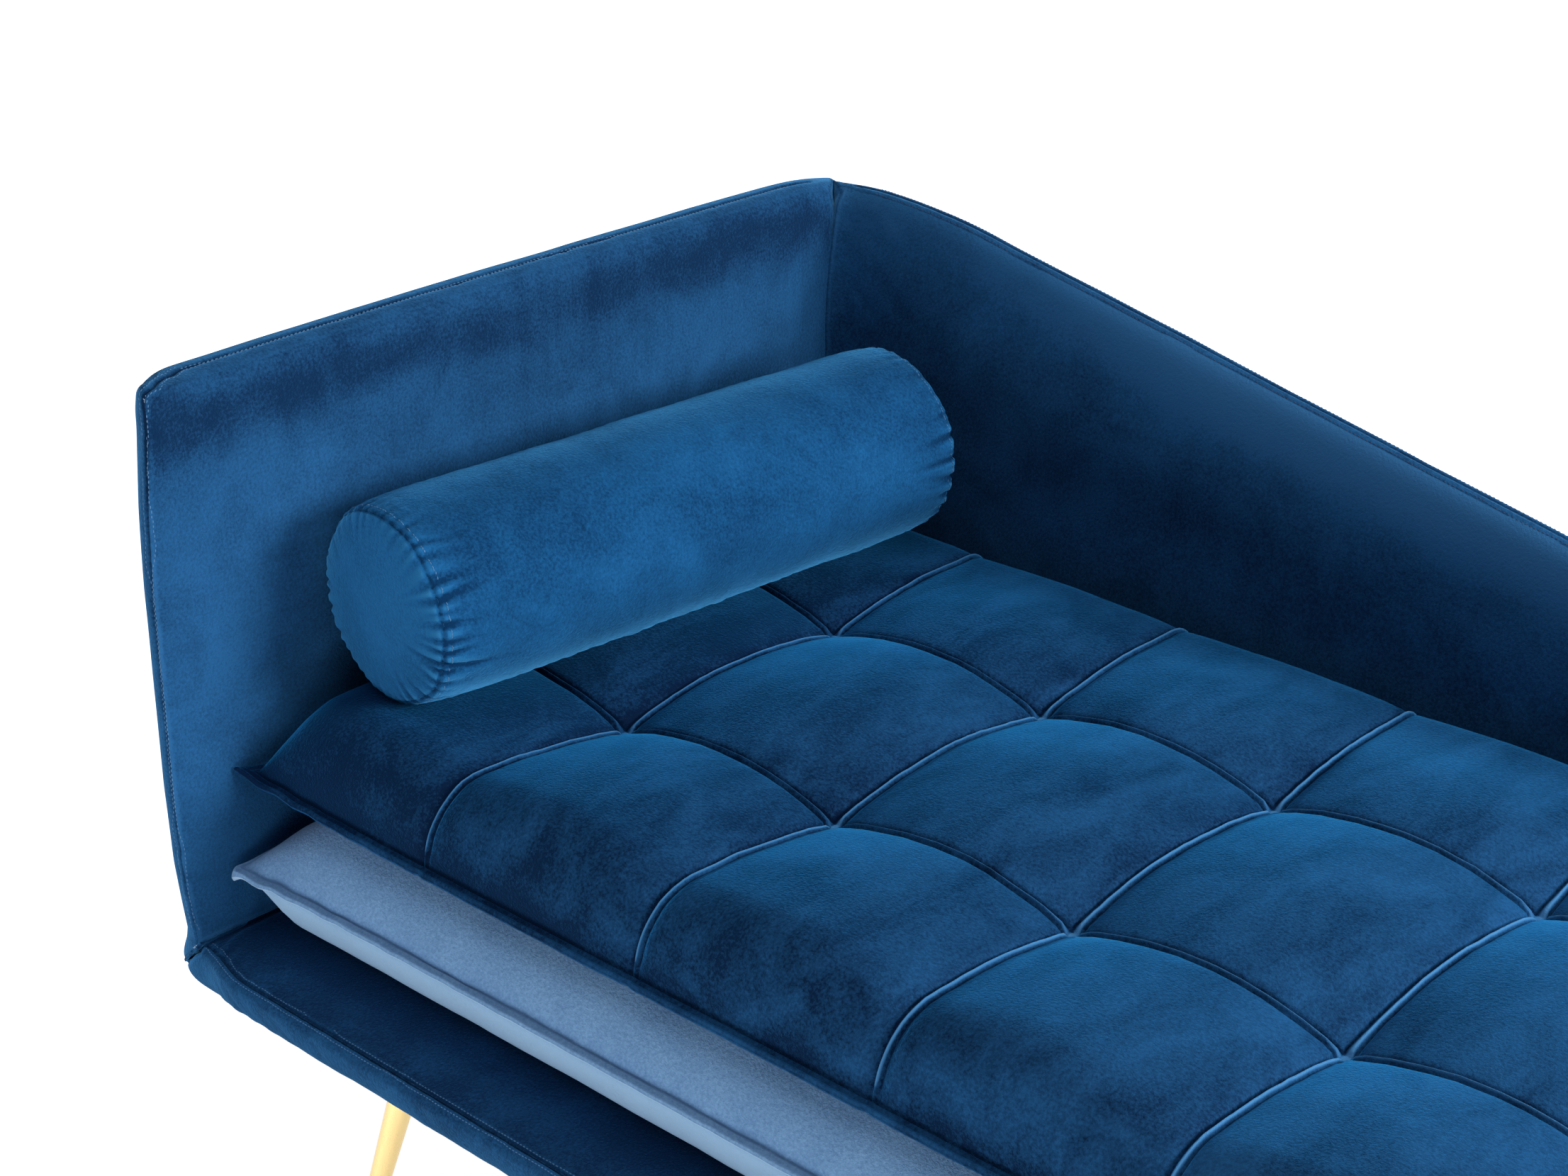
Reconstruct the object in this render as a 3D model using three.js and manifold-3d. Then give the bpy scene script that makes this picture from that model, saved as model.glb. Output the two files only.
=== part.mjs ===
// Fainting couch: an upholstered platform on six metal legs, a head panel, a back panel that slopes
// down to the foot, a plain lower mattress, a tufted upper mattress and a round bolster.
// Millimetres, +Z up. X runs along the seat with the head at -X, and the open front faces -Y.
// The origin lies on the floor under the middle of the couch.

import * as THREE from 'three';
import { mergeVertices } from 'three/addons/utils/BufferGeometryUtils.js';
import Module from 'manifold-3d';

const wasm = await Module();
wasm.setup();

// Driving dimensions of the upholstered shell
const headThickness = 45;
const backThickness = 45;
const platformThickness = 44;
const platformHeight = 196;
const headRise = 431;
const frontMargin = 64;
const headSetback = 7;
const footMargin = 64;
const outerRadius = 30;
const noseRadius = 41;
const seamRadius = 5;
const topInnerRadius = 17;
const topOuterRadius = 25;
const headCornerRadius = 50;
const footCornerRadius = 40;
const shoulderStart = 12;
const shoulderLength = 146;
const backFootRise = 107;
const backFootRadius = 60;

// Driving dimensions of the frame inside the shell
const fit = 0.3;
const boardThickness = 20;
const edgePadding = 32;
const boardPadding = 24;
const boardFootPadding = 8;
const topPadding = 7;
const underClothThickness = 1.5;
const turnUnderReach = 60;
const seamInset = 9;
const deckThickness = 6;
const railWidth = 45;
const crossRailWidth = 100;

// Driving dimensions of the fasteners
const boltDiameter = 8;
const boltHeadDiameter = 14;
const boltHeadHeight = 5;
const boltHoleClearance = 0.6;
const boltRise = 20;
const headBoltInset = 130;
const backBoltOffset = 25;
const teeNutBarrel = 11;
const teeNutBarrelLength = 12;
const teeNutFlange = 18;
const teeNutFlangeThickness = 1.5;
const screwDiameter = 6;
const screwLength = 70;
const screwHeadDiameter = 11;
const screwHeadHeight = 3.5;
const screwLowest = 80;
const screwPitch = 130;

// Driving dimensions of the legs
const legTopDiameter = 21.5;
const legFootDiameter = 10.5;
const legSplay = 0.2;
const legFrontInset = 72;
const legEndInset = 213;
const legPlateSide = 60;
const legPlateThickness = 3;
const legBossDiameter = 27;
const legBossHeight = 12;
const legStudDiameter = 8;
const legStudLength = 12;
const glideHeight = 4;
const glideDiameter = 12.5;
const glideSpigotDiameter = 5;
const glideSpigotLength = 12;

// Driving dimensions of the mattresses
const mattressLength = 1607;
const mattressDepth = 628;
const mattressGap = 2;
const tuftColumns = 8;
const tuftRows = 3;
const endColumn = 188.5;
const endRow = 201.7;
const upperThickness = 41;
const lengthwiseArch = 19;
const crosswiseArch = 12;
const panelBlend = 4;
const freeEdgeRounding = 90;
const pressedEdgeRounding = 32;
const upperFlangeWidth = 9;
const upperFlangeThickness = 3;
const upperFlangeRise = 3;
const upperDrawIn = 5;
const lowerThickness = 109.4;
const lowerFlangeReach = 24;
const lowerFlangeRise = 58;
const lowerFlangeWidth = 8;
const lowerFlangeThickness = 3;
const lowerDrawIn = 6;
const lowerContactInset = 44;
const lowerCornerRadius = 12;
const lowerWall = 6;
const mattressZipLength = 900;
const zipWidth = 12;

// Driving dimensions of the bolster
const bolsterDiameter = 154;
const bolsterTurn = 4.5;
const bolsterFrontInset = 79;
const bolsterBackInset = 56.5;
const bolsterEndRounding = 9;
const bolsterDome = 11;
const bolsterNeck = 5;
const bolsterShoulder = 60;
const bolsterWall = 6;
const bolsterZipLength = 330;
const bolsterZipTurn = 205;
const bolsterZipDepth = 2;

// Faces and levels that the pieces share
const overallLength = headThickness + mattressGap + mattressLength + footMargin;
const overallDepth = backThickness + mattressGap + mattressDepth + frontMargin;
const headOuter = -overallLength / 2;
const headInner = headOuter + headThickness;
const footOuter = overallLength / 2;
const frontOuter = -overallDepth / 2;
const headFront = frontOuter + headSetback;
const backOuter = overallDepth / 2;
const backInner = backOuter - backThickness;
const platformTop = platformHeight + platformThickness;
const headTop = platformTop + headRise;
const boardBottom = platformHeight + boardFootPadding;
const headBoardOuter = headOuter + (headThickness - boardThickness) / 2;
const headBoardInner = headBoardOuter + boardThickness;
const backBoardFront = backInner + (backThickness - boardThickness) / 2;
const backBoardBack = backBoardFront + boardThickness;
const deckTop = platformTop - topPadding - fit;
const railTop = deckTop - deckThickness - fit;
const railBottom = platformHeight + underClothThickness + fit;
const frameHead = headBoardInner + fit;
const frameFoot = footOuter - edgePadding;
const frameFront = frontOuter + edgePadding;
const frameBack = backBoardFront - fit;
const legPlateTop = platformHeight - fit;
const far = overallLength + overallDepth;

// Numbers of flat sides and steps on the rounded shapes
const roundSides = 12;
const legSides = 20;
const bolsterSides = 28;
const bolsterRestSteps = 24;
const arcSteps = 5;
const innerArcSteps = 3;
const lengthSteps = 10;
const depthSteps = 4;

function material(name, color, roughness, metalness = 0) {
  return new THREE.MeshStandardMaterial({ name, color, roughness, metalness });
}

const velvet = material('navy_velvet', 0x1c3a7d, 0.85);
const paleVelvet = material('light_blue_velvet', 0x8fa9cf, 0.85);
const brightVelvet = material('bright_blue_velvet', 0x2a55ad, 0.85);
const gold = material('satin_gold', 0xc9a25a, 0.35, 1);
const steel = material('zinc_steel', 0xa9adb2, 0.4, 1);
const pine = material('pine', 0xd2ab74, 0.7);
const plywood = material('plywood', 0xc79c66, 0.7);
const foam = material('foam', 0xe8dfb4, 0.95);
const blackCloth = material('black_cloth', 0x151515, 0.95);
const blackPlastic = material('black_plastic', 0x191919, 0.5);

const couch = new THREE.Group();

// Shape helpers

// A closed mesh with shared vertices whose faces point outwards
function closedMesh(positions, triangles) {
  const geometry = new THREE.BufferGeometry();
  geometry.setAttribute('position', new THREE.Float32BufferAttribute(positions, 3));
  geometry.setIndex(triangles);
  const merged = mergeVertices(geometry, 1e-4);
  const index = merged.index.array;
  const kept = [];
  let volume = 0;
  const a = new THREE.Vector3();
  const b = new THREE.Vector3();
  const c = new THREE.Vector3();
  for (let i = 0; i < index.length; i += 3) {
    const [p, q, r] = [index[i], index[i + 1], index[i + 2]];
    if (p === q || q === r || r === p) continue;
    kept.push(p, q, r);
    a.fromBufferAttribute(merged.attributes.position, p);
    b.fromBufferAttribute(merged.attributes.position, q);
    c.fromBufferAttribute(merged.attributes.position, r);
    volume += a.dot(b.cross(c));
  }
  merged.setIndex(volume < 0 ? kept.reverse() : kept);
  merged.computeVertexNormals();
  return merged;
}

// The same mesh without its normals and texture coordinates, with shared vertices
function plain(geometry) {
  const position = geometry.attributes.position.array;
  const count = geometry.attributes.position.count;
  const index = geometry.index ? geometry.index.array : Array.from({ length: count }, (_, i) => i);
  return closedMesh(Array.from(position), Array.from(index));
}

function toSolid(geometry) {
  const mesh = plain(geometry);
  return new wasm.Manifold(new wasm.Mesh({
    numProp: 3,
    vertProperties: new Float32Array(mesh.attributes.position.array),
    triVerts: new Uint32Array(mesh.index.array),
  }));
}

function toGeometry(solid) {
  const mesh = solid.getMesh();
  return closedMesh(Array.from(mesh.vertProperties), Array.from(mesh.triVerts));
}

function cut(geometry, ...cutters) {
  let solid = toSolid(geometry);
  for (const cutter of cutters) solid = solid.subtract(toSolid(cutter));
  return toGeometry(solid);
}

function join(geometry, ...others) {
  let solid = toSolid(geometry);
  for (const other of others) solid = solid.add(toSolid(other));
  return toGeometry(solid);
}

function common(geometry, ...others) {
  let solid = toSolid(geometry);
  for (const other of others) solid = solid.intersect(toSolid(other));
  return toGeometry(solid);
}

function box(x0, x1, y0, y1, z0, z1) {
  const geometry = new THREE.BoxGeometry(x1 - x0, y1 - y0, z1 - z0);
  return geometry.translate((x0 + x1) / 2, (y0 + y1) / 2, (z0 + z1) / 2);
}

// A flat outline pushed along X, Y or Z. Outlines are [y, z], [x, z] and [x, y] in that order.
function prism(outline, axis, from, to) {
  const shape = new THREE.Shape(outline.map(([u, v]) => new THREE.Vector2(u, v)));
  const geometry = new THREE.ExtrudeGeometry(shape, { depth: to - from, bevelEnabled: false });
  if (axis === 'z') return geometry.translate(0, 0, from);
  if (axis === 'y') return geometry.rotateX(Math.PI / 2).translate(0, to, 0);
  return geometry.rotateY(Math.PI / 2).rotateX(Math.PI / 2).translate(from, 0, 0);
}

// A rectangle whose corners are rounded one by one: low-low, high-low, high-high, low-high
function roundedRectangle(u0, u1, v0, v1, radii) {
  const corners = [[u0, v0, 1, 1], [u1, v0, -1, 1], [u1, v1, -1, -1], [u0, v1, 1, -1]];
  const outline = [];
  corners.forEach(([u, v, su, sv], i) => {
    const radius = radii[i];
    if (radius === 0) {
      outline.push([u, v]);
      return;
    }
    for (let step = 0; step <= arcSteps; step += 1) {
      const turn = (step / arcSteps) * (Math.PI / 2);
      const along = i % 2 === 0 ? Math.PI / 2 - turn : turn;
      outline.push([u + su * radius * (1 - Math.sin(along)), v + sv * radius * (1 - Math.cos(along))]);
    }
  });
  return outline;
}

// A bar of rectangular section with rounded corners, pushed along an axis
function bar(axis, from, to, u0, u1, v0, v1, radii) {
  return prism(roundedRectangle(u0, u1, v0, v1, radii), axis, from, to);
}

// All that lies to the left of the line from p to q, less a clearance
function leftOf(p, q, clearance = fit / 2) {
  const along = new THREE.Vector2(q[0] - p[0], q[1] - p[1]).normalize();
  const left = new THREE.Vector2(-along.y, along.x);
  const at = (s, t) => [p[0] + along.x * s + left.x * t, p[1] + along.y * s + left.y * t];
  return [at(-far, clearance), at(far, clearance), at(far, far), at(-far, far)];
}

// A closed skin through rings of the same number of points, with both ends closed to their middles
function loft(rings) {
  const count = rings[0].length;
  const positions = rings.flat().flatMap((point) => point);
  const triangles = [];
  for (let r = 0; r < rings.length - 1; r += 1) {
    for (let i = 0; i < count; i += 1) {
      const a = r * count + i;
      const b = r * count + ((i + 1) % count);
      triangles.push(a, b, b + count, a, b + count, a + count);
    }
  }
  for (const [r, first, second] of [[0, 1, 0], [rings.length - 1, 0, 1]]) {
    const middle = positions.length / 3;
    for (let axis = 0; axis < 3; axis += 1) {
      positions.push(rings[r].reduce((sum, point) => sum + point[axis], 0) / count);
    }
    for (let i = 0; i < count; i += 1) {
      triangles.push(middle, r * count + ((i + first) % count), r * count + ((i + second) % count));
    }
  }
  return closedMesh(positions, triangles);
}

// An outline that runs anticlockwise, moved inwards all round
function inset(outline, amount) {
  return outline.map(([u, v], i) => {
    const [bu, bv] = outline.at(i - 1);
    const [au, av] = outline[(i + 1) % outline.length];
    const before = new THREE.Vector2(bv - v, u - bu).normalize();
    const after = new THREE.Vector2(v - av, au - u).normalize();
    const share = amount / (1 + before.dot(after));
    return [u + (before.x + after.x) * share, v + (before.y + after.y) * share];
  });
}

// A round piece along +Z from its outline of [radius, height] points
function turned(outline, sides = roundSides) {
  const points = outline.map(([radius, height]) => new THREE.Vector2(radius, height));
  return plain(new THREE.LatheGeometry(points, sides).rotateX(Math.PI / 2));
}

function rod(diameter, from, to, sides = roundSides) {
  return turned([[0, from], [diameter / 2, from], [diameter / 2, to], [0, to]], sides);
}

function addPiece(parent, name, geometry, material) {
  const mesh = new THREE.Mesh(plain(geometry), material);
  mesh.name = name;
  parent.add(mesh);
  return mesh;
}

// Places of the legs, bolts and screws

const legRows = [
  { name: 'front', y: frontOuter + legFrontInset, side: -1 },
  { name: 'back', y: backOuter - legFrontInset, side: 1 },
];
const legColumns = [
  { name: 'head', x: headOuter + legEndInset, side: -1 },
  { name: 'middle', x: 0, side: 0 },
  { name: 'foot', x: footOuter - legEndInset, side: 1 },
];
const boltHeight = platformHeight + boltRise;
const headBoltPlaces = [frameFront + headBoltInset, frameBack - headBoltInset];
const backBoltPlaces = legColumns.map((column) => column.x + crossRailWidth / 2 + backBoltOffset);
const screwHeights = [0, 1, 2].map((row) => platformTop + screwLowest + row * screwPitch);
const screwDepth = (backBoardFront + backBoardBack) / 2;

// Bolt, tee nut and screw, each with its axis along +Z and its seat at the height 0

function boltShape(grip) {
  const shank = boltDiameter / 2;
  const head = boltHeadDiameter / 2;
  const outline = [[0, -grip], [shank, -grip], [shank, fit], [head, fit], [head, fit + boltHeadHeight]];
  return turned([...outline, [0, fit + boltHeadHeight]]);
}

function teeNutShape() {
  const bore = (boltDiameter + boltHoleClearance) / 2;
  const barrel = teeNutBarrel / 2;
  const flange = teeNutFlange / 2;
  return turned([
    [bore, -teeNutBarrelLength], [barrel, -teeNutBarrelLength], [barrel, 0],
    [flange, 0], [flange, teeNutFlangeThickness], [bore, teeNutFlangeThickness],
    [bore, -teeNutBarrelLength],
  ]);
}

function screwShape() {
  const shank = screwDiameter / 2;
  const head = screwHeadDiameter / 2;
  return turned([
    [0, screwHeadHeight - screwLength], [shank, shank * 2 + screwHeadHeight - screwLength],
    [shank, 0], [head, screwHeadHeight], [0, screwHeadHeight],
  ]);
}

// Turns a round piece that points along +Z so that it points along +X, -X, +Y or -Y, and places it
function point(geometry, direction, x, y, z) {
  const turns = { '+x': ['y', 1], '-x': ['y', -1], '+y': ['x', -1], '-y': ['x', 1] };
  const [axis, sign] = turns[direction];
  const angle = sign * (Math.PI / 2);
  const piece = axis === 'x' ? geometry.rotateX(angle) : geometry.rotateY(angle);
  return piece.translate(x, y, z);
}

const railBoltHole = (direction, x, y) => {
  const hole = rod(boltDiameter + boltHoleClearance, -railWidth - 2 * fit, 2 * fit);
  return point(hole, direction, x, y, boltHeight);
};

// The hole for a tee nut runs through the board, with a sinking for the flange at the nut's face
const teeNutHole = (direction, x, y) => {
  const barrel = rod(teeNutBarrel + 2 * fit, -boardThickness - fit, 2 * fit);
  const sinking = rod(teeNutFlange + 2 * fit, -teeNutFlangeThickness - 2 * fit, 2 * fit);
  return point(join(barrel, sinking), direction, x, y, boltHeight);
};

// Frame of the platform

function buildFrame(group) {
  const headRailFoot = frameHead + railWidth;
  const frontRailBack = frameFront + railWidth;
  const backRailFront = frameBack - railWidth;
  const between = [frontRailBack + fit, backRailFront - fit];

  const frontRail = box(frameHead, frameFoot, frameFront, frontRailBack, railBottom, railTop);
  addPiece(group, 'frame_front_rail', frontRail, pine);

  const backRail = box(frameHead, frameFoot, backRailFront, frameBack, railBottom, railTop);
  const backHoles = backBoltPlaces.map((x) => railBoltHole('-y', x, backRailFront));
  addPiece(group, 'frame_back_rail', cut(backRail, ...backHoles), pine);

  const headRail = box(frameHead, headRailFoot, ...between, railBottom, railTop);
  const headHoles = headBoltPlaces.map((y) => railBoltHole('+x', headRailFoot, y));
  addPiece(group, 'frame_head_rail', cut(headRail, ...headHoles), pine);

  const footRail = box(frameFoot - railWidth, frameFoot, ...between, railBottom, railTop);
  addPiece(group, 'frame_foot_rail', footRail, pine);

  for (const column of legColumns) {
    const from = column.x - crossRailWidth / 2;
    const rail = box(from, from + crossRailWidth, ...between, railBottom, railTop);
    addPiece(group, `frame_cross_rail_${column.name}`, rail, pine);
  }

  const deck = box(frameHead, frameFoot, frameFront, frameBack, railTop + fit, deckTop);
  addPiece(group, 'deck_board', deck, plywood);
}

// Boards inside the head panel and the back panel

// Outline of the back panel seen from the front, anticlockwise, with the slope down to the foot
function backOutline(head, foot, bottom) {
  const shoulder = headInner + shoulderStart;
  const slopeStart = shoulder + shoulderLength;
  const slope = (headRise - backFootRise) / (shoulderLength / 2 + footOuter - slopeStart);
  const slopeTop = headTop - (slope * shoulderLength) / 2;
  const footTop = platformTop + backFootRise;
  const shape = new THREE.Shape();
  shape.moveTo(head, bottom);
  shape.lineTo(foot, bottom);
  shape.lineTo(foot, footTop - backFootRadius);
  shape.quadraticCurveTo(foot, footTop, foot - backFootRadius, footTop + slope * backFootRadius);
  shape.lineTo(slopeStart, slopeTop);
  shape.quadraticCurveTo(shoulder + shoulderLength / 2, headTop, shoulder, headTop);
  shape.lineTo(head, headTop);
  return shape.getPoints(arcSteps).map((spot) => [spot.x, spot.y]);
}

// Each board can be grown by a clearance, to cut its space out of the padded covers
function headBoard(clearance) {
  const outline = roundedRectangle(
    headFront + boardPadding - clearance, backBoardBack + clearance,
    boardBottom - clearance, headTop - boardPadding + clearance, [0, 0, 0, 0],
  );
  return prism(outline, 'x', headBoardOuter - clearance, headBoardInner + clearance);
}

// The back board is the panel's outline moved in by the padding, cut off at the head board and below
function backBoard(clearance) {
  const outline = backOutline(headOuter - boardPadding, footOuter, platformHeight - boardPadding);
  const moved = inset(outline, boardPadding - clearance);
  const panel = prism(moved, 'y', backBoardFront - clearance, backBoardBack + clearance);
  const head = headBoardInner + fit - clearance;
  return common(panel, box(head, far, -far, far, boardBottom - clearance, far));
}

function buildBoards(group) {
  const headHoles = headBoltPlaces.map((y) => teeNutHole('-x', headBoardOuter, y));
  const screwShank = screwHeights.map((z) => {
    const hole = rod(screwDiameter + 2 * fit, -boardThickness - fit, fit);
    return point(hole, '-x', headBoardOuter, screwDepth, z);
  });
  const screwSinking = screwHeights.map((z) => {
    const hole = rod(screwHeadDiameter + 2 * fit, -screwHeadHeight - 2 * fit, fit);
    return point(hole, '-x', headBoardOuter, screwDepth, z);
  });
  addPiece(group, 'head_board', cut(headBoard(0), ...headHoles, ...screwShank, ...screwSinking), plywood);

  const backHoles = backBoltPlaces.map((x) => teeNutHole('+y', x, backBoardBack));
  const pilotHoles = screwHeights.map((z) => {
    const hole = rod(screwDiameter + 2 * fit, -screwLength - 2 * fit, fit);
    return point(hole, '-x', headBoardOuter, screwDepth, z);
  });
  addPiece(group, 'back_board', cut(backBoard(0), ...backHoles, ...pilotHoles), plywood);
}

function buildFasteners(group) {
  const grip = railWidth + fit + boardThickness - teeNutFlangeThickness;
  headBoltPlaces.forEach((y, i) => {
    const bolt = point(boltShape(grip), '+x', frameHead + railWidth, y, boltHeight);
    addPiece(group, `head_bolt_${i + 1}`, bolt, steel);
    const nut = point(teeNutShape(), '-x', headBoardOuter + teeNutFlangeThickness + fit, y, boltHeight);
    addPiece(group, `head_tee_nut_${i + 1}`, nut, steel);
  });
  backBoltPlaces.forEach((x, i) => {
    const bolt = point(boltShape(grip), '-y', x, frameBack - railWidth, boltHeight);
    addPiece(group, `back_bolt_${i + 1}`, bolt, steel);
    const nut = point(teeNutShape(), '+y', x, backBoardBack - teeNutFlangeThickness - fit, boltHeight);
    addPiece(group, `back_tee_nut_${i + 1}`, nut, steel);
  });
  screwHeights.forEach((z, i) => {
    const screw = point(screwShape(), '-x', headBoardOuter + screwHeadHeight + fit, screwDepth, z);
    addPiece(group, `corner_screw_${i + 1}`, screw, steel);
  });
}

// Padded covers of the shell

const limitedRadius = (radius, thickness) => Math.min(radius, thickness * 0.7);
const platformEdge = limitedRadius(outerRadius, platformThickness);
const headEdge = limitedRadius(outerRadius, headThickness);
const backEdge = limitedRadius(outerRadius, backThickness);
const platformNose = Math.min(noseRadius, platformThickness - seamRadius);
const headNose = Math.min(noseRadius, headThickness - seamRadius);
const bandBack = frontOuter + turnUnderReach;
const bandHead = footOuter - turnUnderReach;
const headBottomCorner = [headOuter, platformHeight];
const headCreaseCorner = [headInner, platformTop];
const panelOuterCorner = [headOuter, backOuter];
const panelInnerCorner = [headInner, backInner];
const footFrontCorner = [footOuter, frontOuter];
const footMitreEnd = [bandHead, bandBack];

// Space that the rails, the deck and the platform's top cover take from the covers of the panels
function platformSpace() {
  const front = frontOuter + seamInset - fit;
  const top = platformTop + fit;
  return box(headBoardInner, frameFoot + fit, front, backBoardFront, platformHeight - far, top);
}

function frameSpace() {
  return box(headBoardInner, frameFoot + fit, frameFront - fit, far, railBottom - fit, far);
}

// Outline of the platform's top cover seen from above, as far as the seams at the front and foot
function topCoverOutline(grown) {
  const corner = Math.max(footCornerRadius - seamInset + grown, seamRadius);
  return roundedRectangle(
    frameHead, footOuter - seamInset + grown, frontOuter + seamInset - grown, frameBack, [0, corner, 0, 0],
  );
}

function platformSlab() {
  const side = [platformNose, 0, 0, seamRadius];
  const front = [headEdge, platformEdge, seamRadius, 0];
  const plan = [headNose, footCornerRadius, 0, 0];
  return common(
    bar('x', headOuter, footOuter, frontOuter, backOuter, platformHeight, platformTop, side),
    bar('y', frontOuter, backOuter, headOuter, footOuter, platformHeight, platformTop, front),
    bar('z', platformHeight, platformTop, headOuter, footOuter, frontOuter, backOuter, plan),
  );
}

function buildPlatformCovers(group) {
  const topCover = prism(topCoverOutline(0), 'z', deckTop + fit, platformTop);
  const backCorner = box(frameFoot, far, backInner - fit, far, 0, far);
  addPiece(group, 'platform_top_cover', cut(topCover, backCorner), velvet);

  const topCoverSpace = prism(topCoverOutline(fit), 'z', deckTop, far);
  const slab = platformSlab();
  const frontBand = common(
    slab,
    box(-far, far, -far, bandBack, 0, far),
    prism(leftOf(headCreaseCorner, headBottomCorner), 'y', -far, far),
    prism(leftOf(footFrontCorner, footMitreEnd), 'z', 0, far),
  );
  const frontCutters = [frameSpace(), topCoverSpace, headBoard(fit)];
  addPiece(group, 'platform_front_band', cut(frontBand, ...frontCutters), velvet);

  const footBand = common(
    slab,
    box(bandHead, far, -far, backInner - fit, 0, far),
    prism(leftOf(footMitreEnd, footFrontCorner), 'z', 0, far),
  );
  addPiece(group, 'platform_foot_band', cut(footBand, frameSpace(), topCoverSpace), velvet);

  const clothTop = platformHeight + underClothThickness;
  const dustCover = box(frameHead, bandHead - fit, bandBack + fit, frameBack, platformHeight, clothTop);
  addPiece(group, 'dust_cover', dustCover, blackCloth);
}

function buildHeadCover(group) {
  const topInner = limitedRadius(topInnerRadius, headThickness - topOuterRadius);
  const plan = [headNose, seamRadius, 0, headEdge];
  const front = [headEdge, 0, topInner, topOuterRadius];
  const side = [platformEdge, backEdge, 0, headCornerRadius];
  const slab = common(
    bar('z', platformHeight, headTop, headOuter, headInner, headFront, backOuter, plan),
    bar('y', headFront, backOuter, headOuter, headInner, platformHeight, headTop, front),
    bar('x', headOuter, headInner, headFront, backOuter, platformHeight, headTop, side),
    prism(leftOf(panelInnerCorner, panelOuterCorner), 'z', 0, far),
  );
  const bandSpace = prism(leftOf(headCreaseCorner, headBottomCorner, -fit / 2), 'y', -far, bandBack + fit);
  addPiece(group, 'head_panel_cover', cut(slab, headBoard(fit), platformSpace(), bandSpace), velvet);
}

// The back panel's outline at each depth, moved in where its front and back edges are rounded
function roundedBackPanel() {
  const outline = backOutline(headOuter - backThickness, footOuter, platformHeight - backThickness);
  const rings = [];
  const topInner = limitedRadius(topInnerRadius, backThickness - topOuterRadius);
  for (let step = 0; step <= arcSteps; step += 1) {
    const turn = (step / arcSteps) * (Math.PI / 2);
    const depth = backInner + topInner * (1 - Math.cos(turn));
    rings.push([depth, topInner * (1 - Math.sin(turn))]);
  }
  for (let step = 0; step <= arcSteps; step += 1) {
    const turn = (step / arcSteps) * (Math.PI / 2);
    const depth = backOuter - topOuterRadius * (1 - Math.sin(turn));
    rings.push([depth, topOuterRadius * (1 - Math.cos(turn))]);
  }
  return loft(rings.map(([depth, amount]) => inset(outline, amount).map(([x, z]) => [x, depth, z])));
}

function buildBackCover(group) {
  const side = [0, backEdge, 0, 0];
  const front = [headEdge, platformEdge, 0, 0];
  const plan = [0, 0, 0, headEdge];
  const slab = common(
    roundedBackPanel(),
    bar('x', headOuter, footOuter, -far, backOuter, platformHeight, far, side),
    bar('y', backInner, backOuter, headOuter, footOuter, platformHeight, far, front),
    bar('z', 0, far, headOuter, footOuter, -far, backOuter, plan),
    prism(leftOf(panelOuterCorner, panelInnerCorner), 'z', 0, far),
  );
  addPiece(group, 'back_panel_cover', cut(slab, backBoard(fit), headBoard(fit), platformSpace()), velvet);
}

// Legs, each splayed outwards. A leg's stud screws into the slanted boss of a square plate, and a
// plastic glide sits in its foot.

function buildLeg(name, x, y, sideX, sideY) {
  const leg = new THREE.Group();
  leg.position.set(x, y, 0);
  const plateBottom = legPlateTop - legPlateThickness;
  const lean = new THREE.Vector3(-sideX * legSplay, -sideY * legSplay, 1);
  const reach = plateBottom * lean.length();
  const foot = lean.clone().multiplyScalar(-plateBottom).add(new THREE.Vector3(0, 0, plateBottom));
  const turn = new THREE.Quaternion().setFromUnitVectors(new THREE.Vector3(0, 0, 1), lean.normalize());
  const stand = (geometry) => geometry.applyQuaternion(turn).translate(foot.x, foot.y, foot.z);
  const between = (low, high) => box(-far, far, -far, far, low, high);

  const top = reach - legBossHeight;
  const taper = (legTopDiameter - legFootDiameter) / 2 / top;
  const overrun = legTopDiameter;
  const stud = legStudDiameter / 2;
  const outline = [
    [0, -overrun], [legFootDiameter / 2 - taper * overrun, -overrun], [legTopDiameter / 2, top],
    [stud, top], [stud, top + legStudLength], [0, top + legStudLength],
  ];
  const tube = common(stand(turned(outline, legSides)), between(glideHeight + fit, far));
  const spigotTop = glideHeight + glideSpigotLength;
  const socket = stand(rod(glideSpigotDiameter + 2 * fit, -overrun, spigotTop + 2 * fit));
  addPiece(leg, `leg_${name}`, cut(tube, socket), gold);

  const half = legPlateSide / 2;
  const plate = box(-half, half, -half, half, plateBottom, legPlateTop);
  const boss = stand(rod(legBossDiameter, top + fit, reach + overrun, legSides));
  const thread = stand(rod(legStudDiameter + 2 * fit, 0, reach + overrun));
  const angledPlate = cut(join(plate, common(boss, between(0, legPlateTop))), thread);
  addPiece(leg, `leg_plate_${name}`, angledPlate, steel);

  const sole = common(stand(rod(glideDiameter, -overrun, overrun, legSides)), between(0, glideHeight));
  const spigot = common(stand(rod(glideSpigotDiameter, 0, spigotTop)), between(fit, far));
  addPiece(leg, `glide_${name}`, join(sole, spigot), blackPlastic);
  return leg;
}

// Mattresses

const mattressHead = headInner + mattressGap;
const mattressFront = frontOuter + frontMargin;
const lowerLength = mattressLength + lowerFlangeReach;
const lowerDepth = mattressDepth + lowerFlangeReach;
const lowerBottom = platformTop + fit;
const upperBottom = lowerBottom + lowerThickness + fit;

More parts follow.
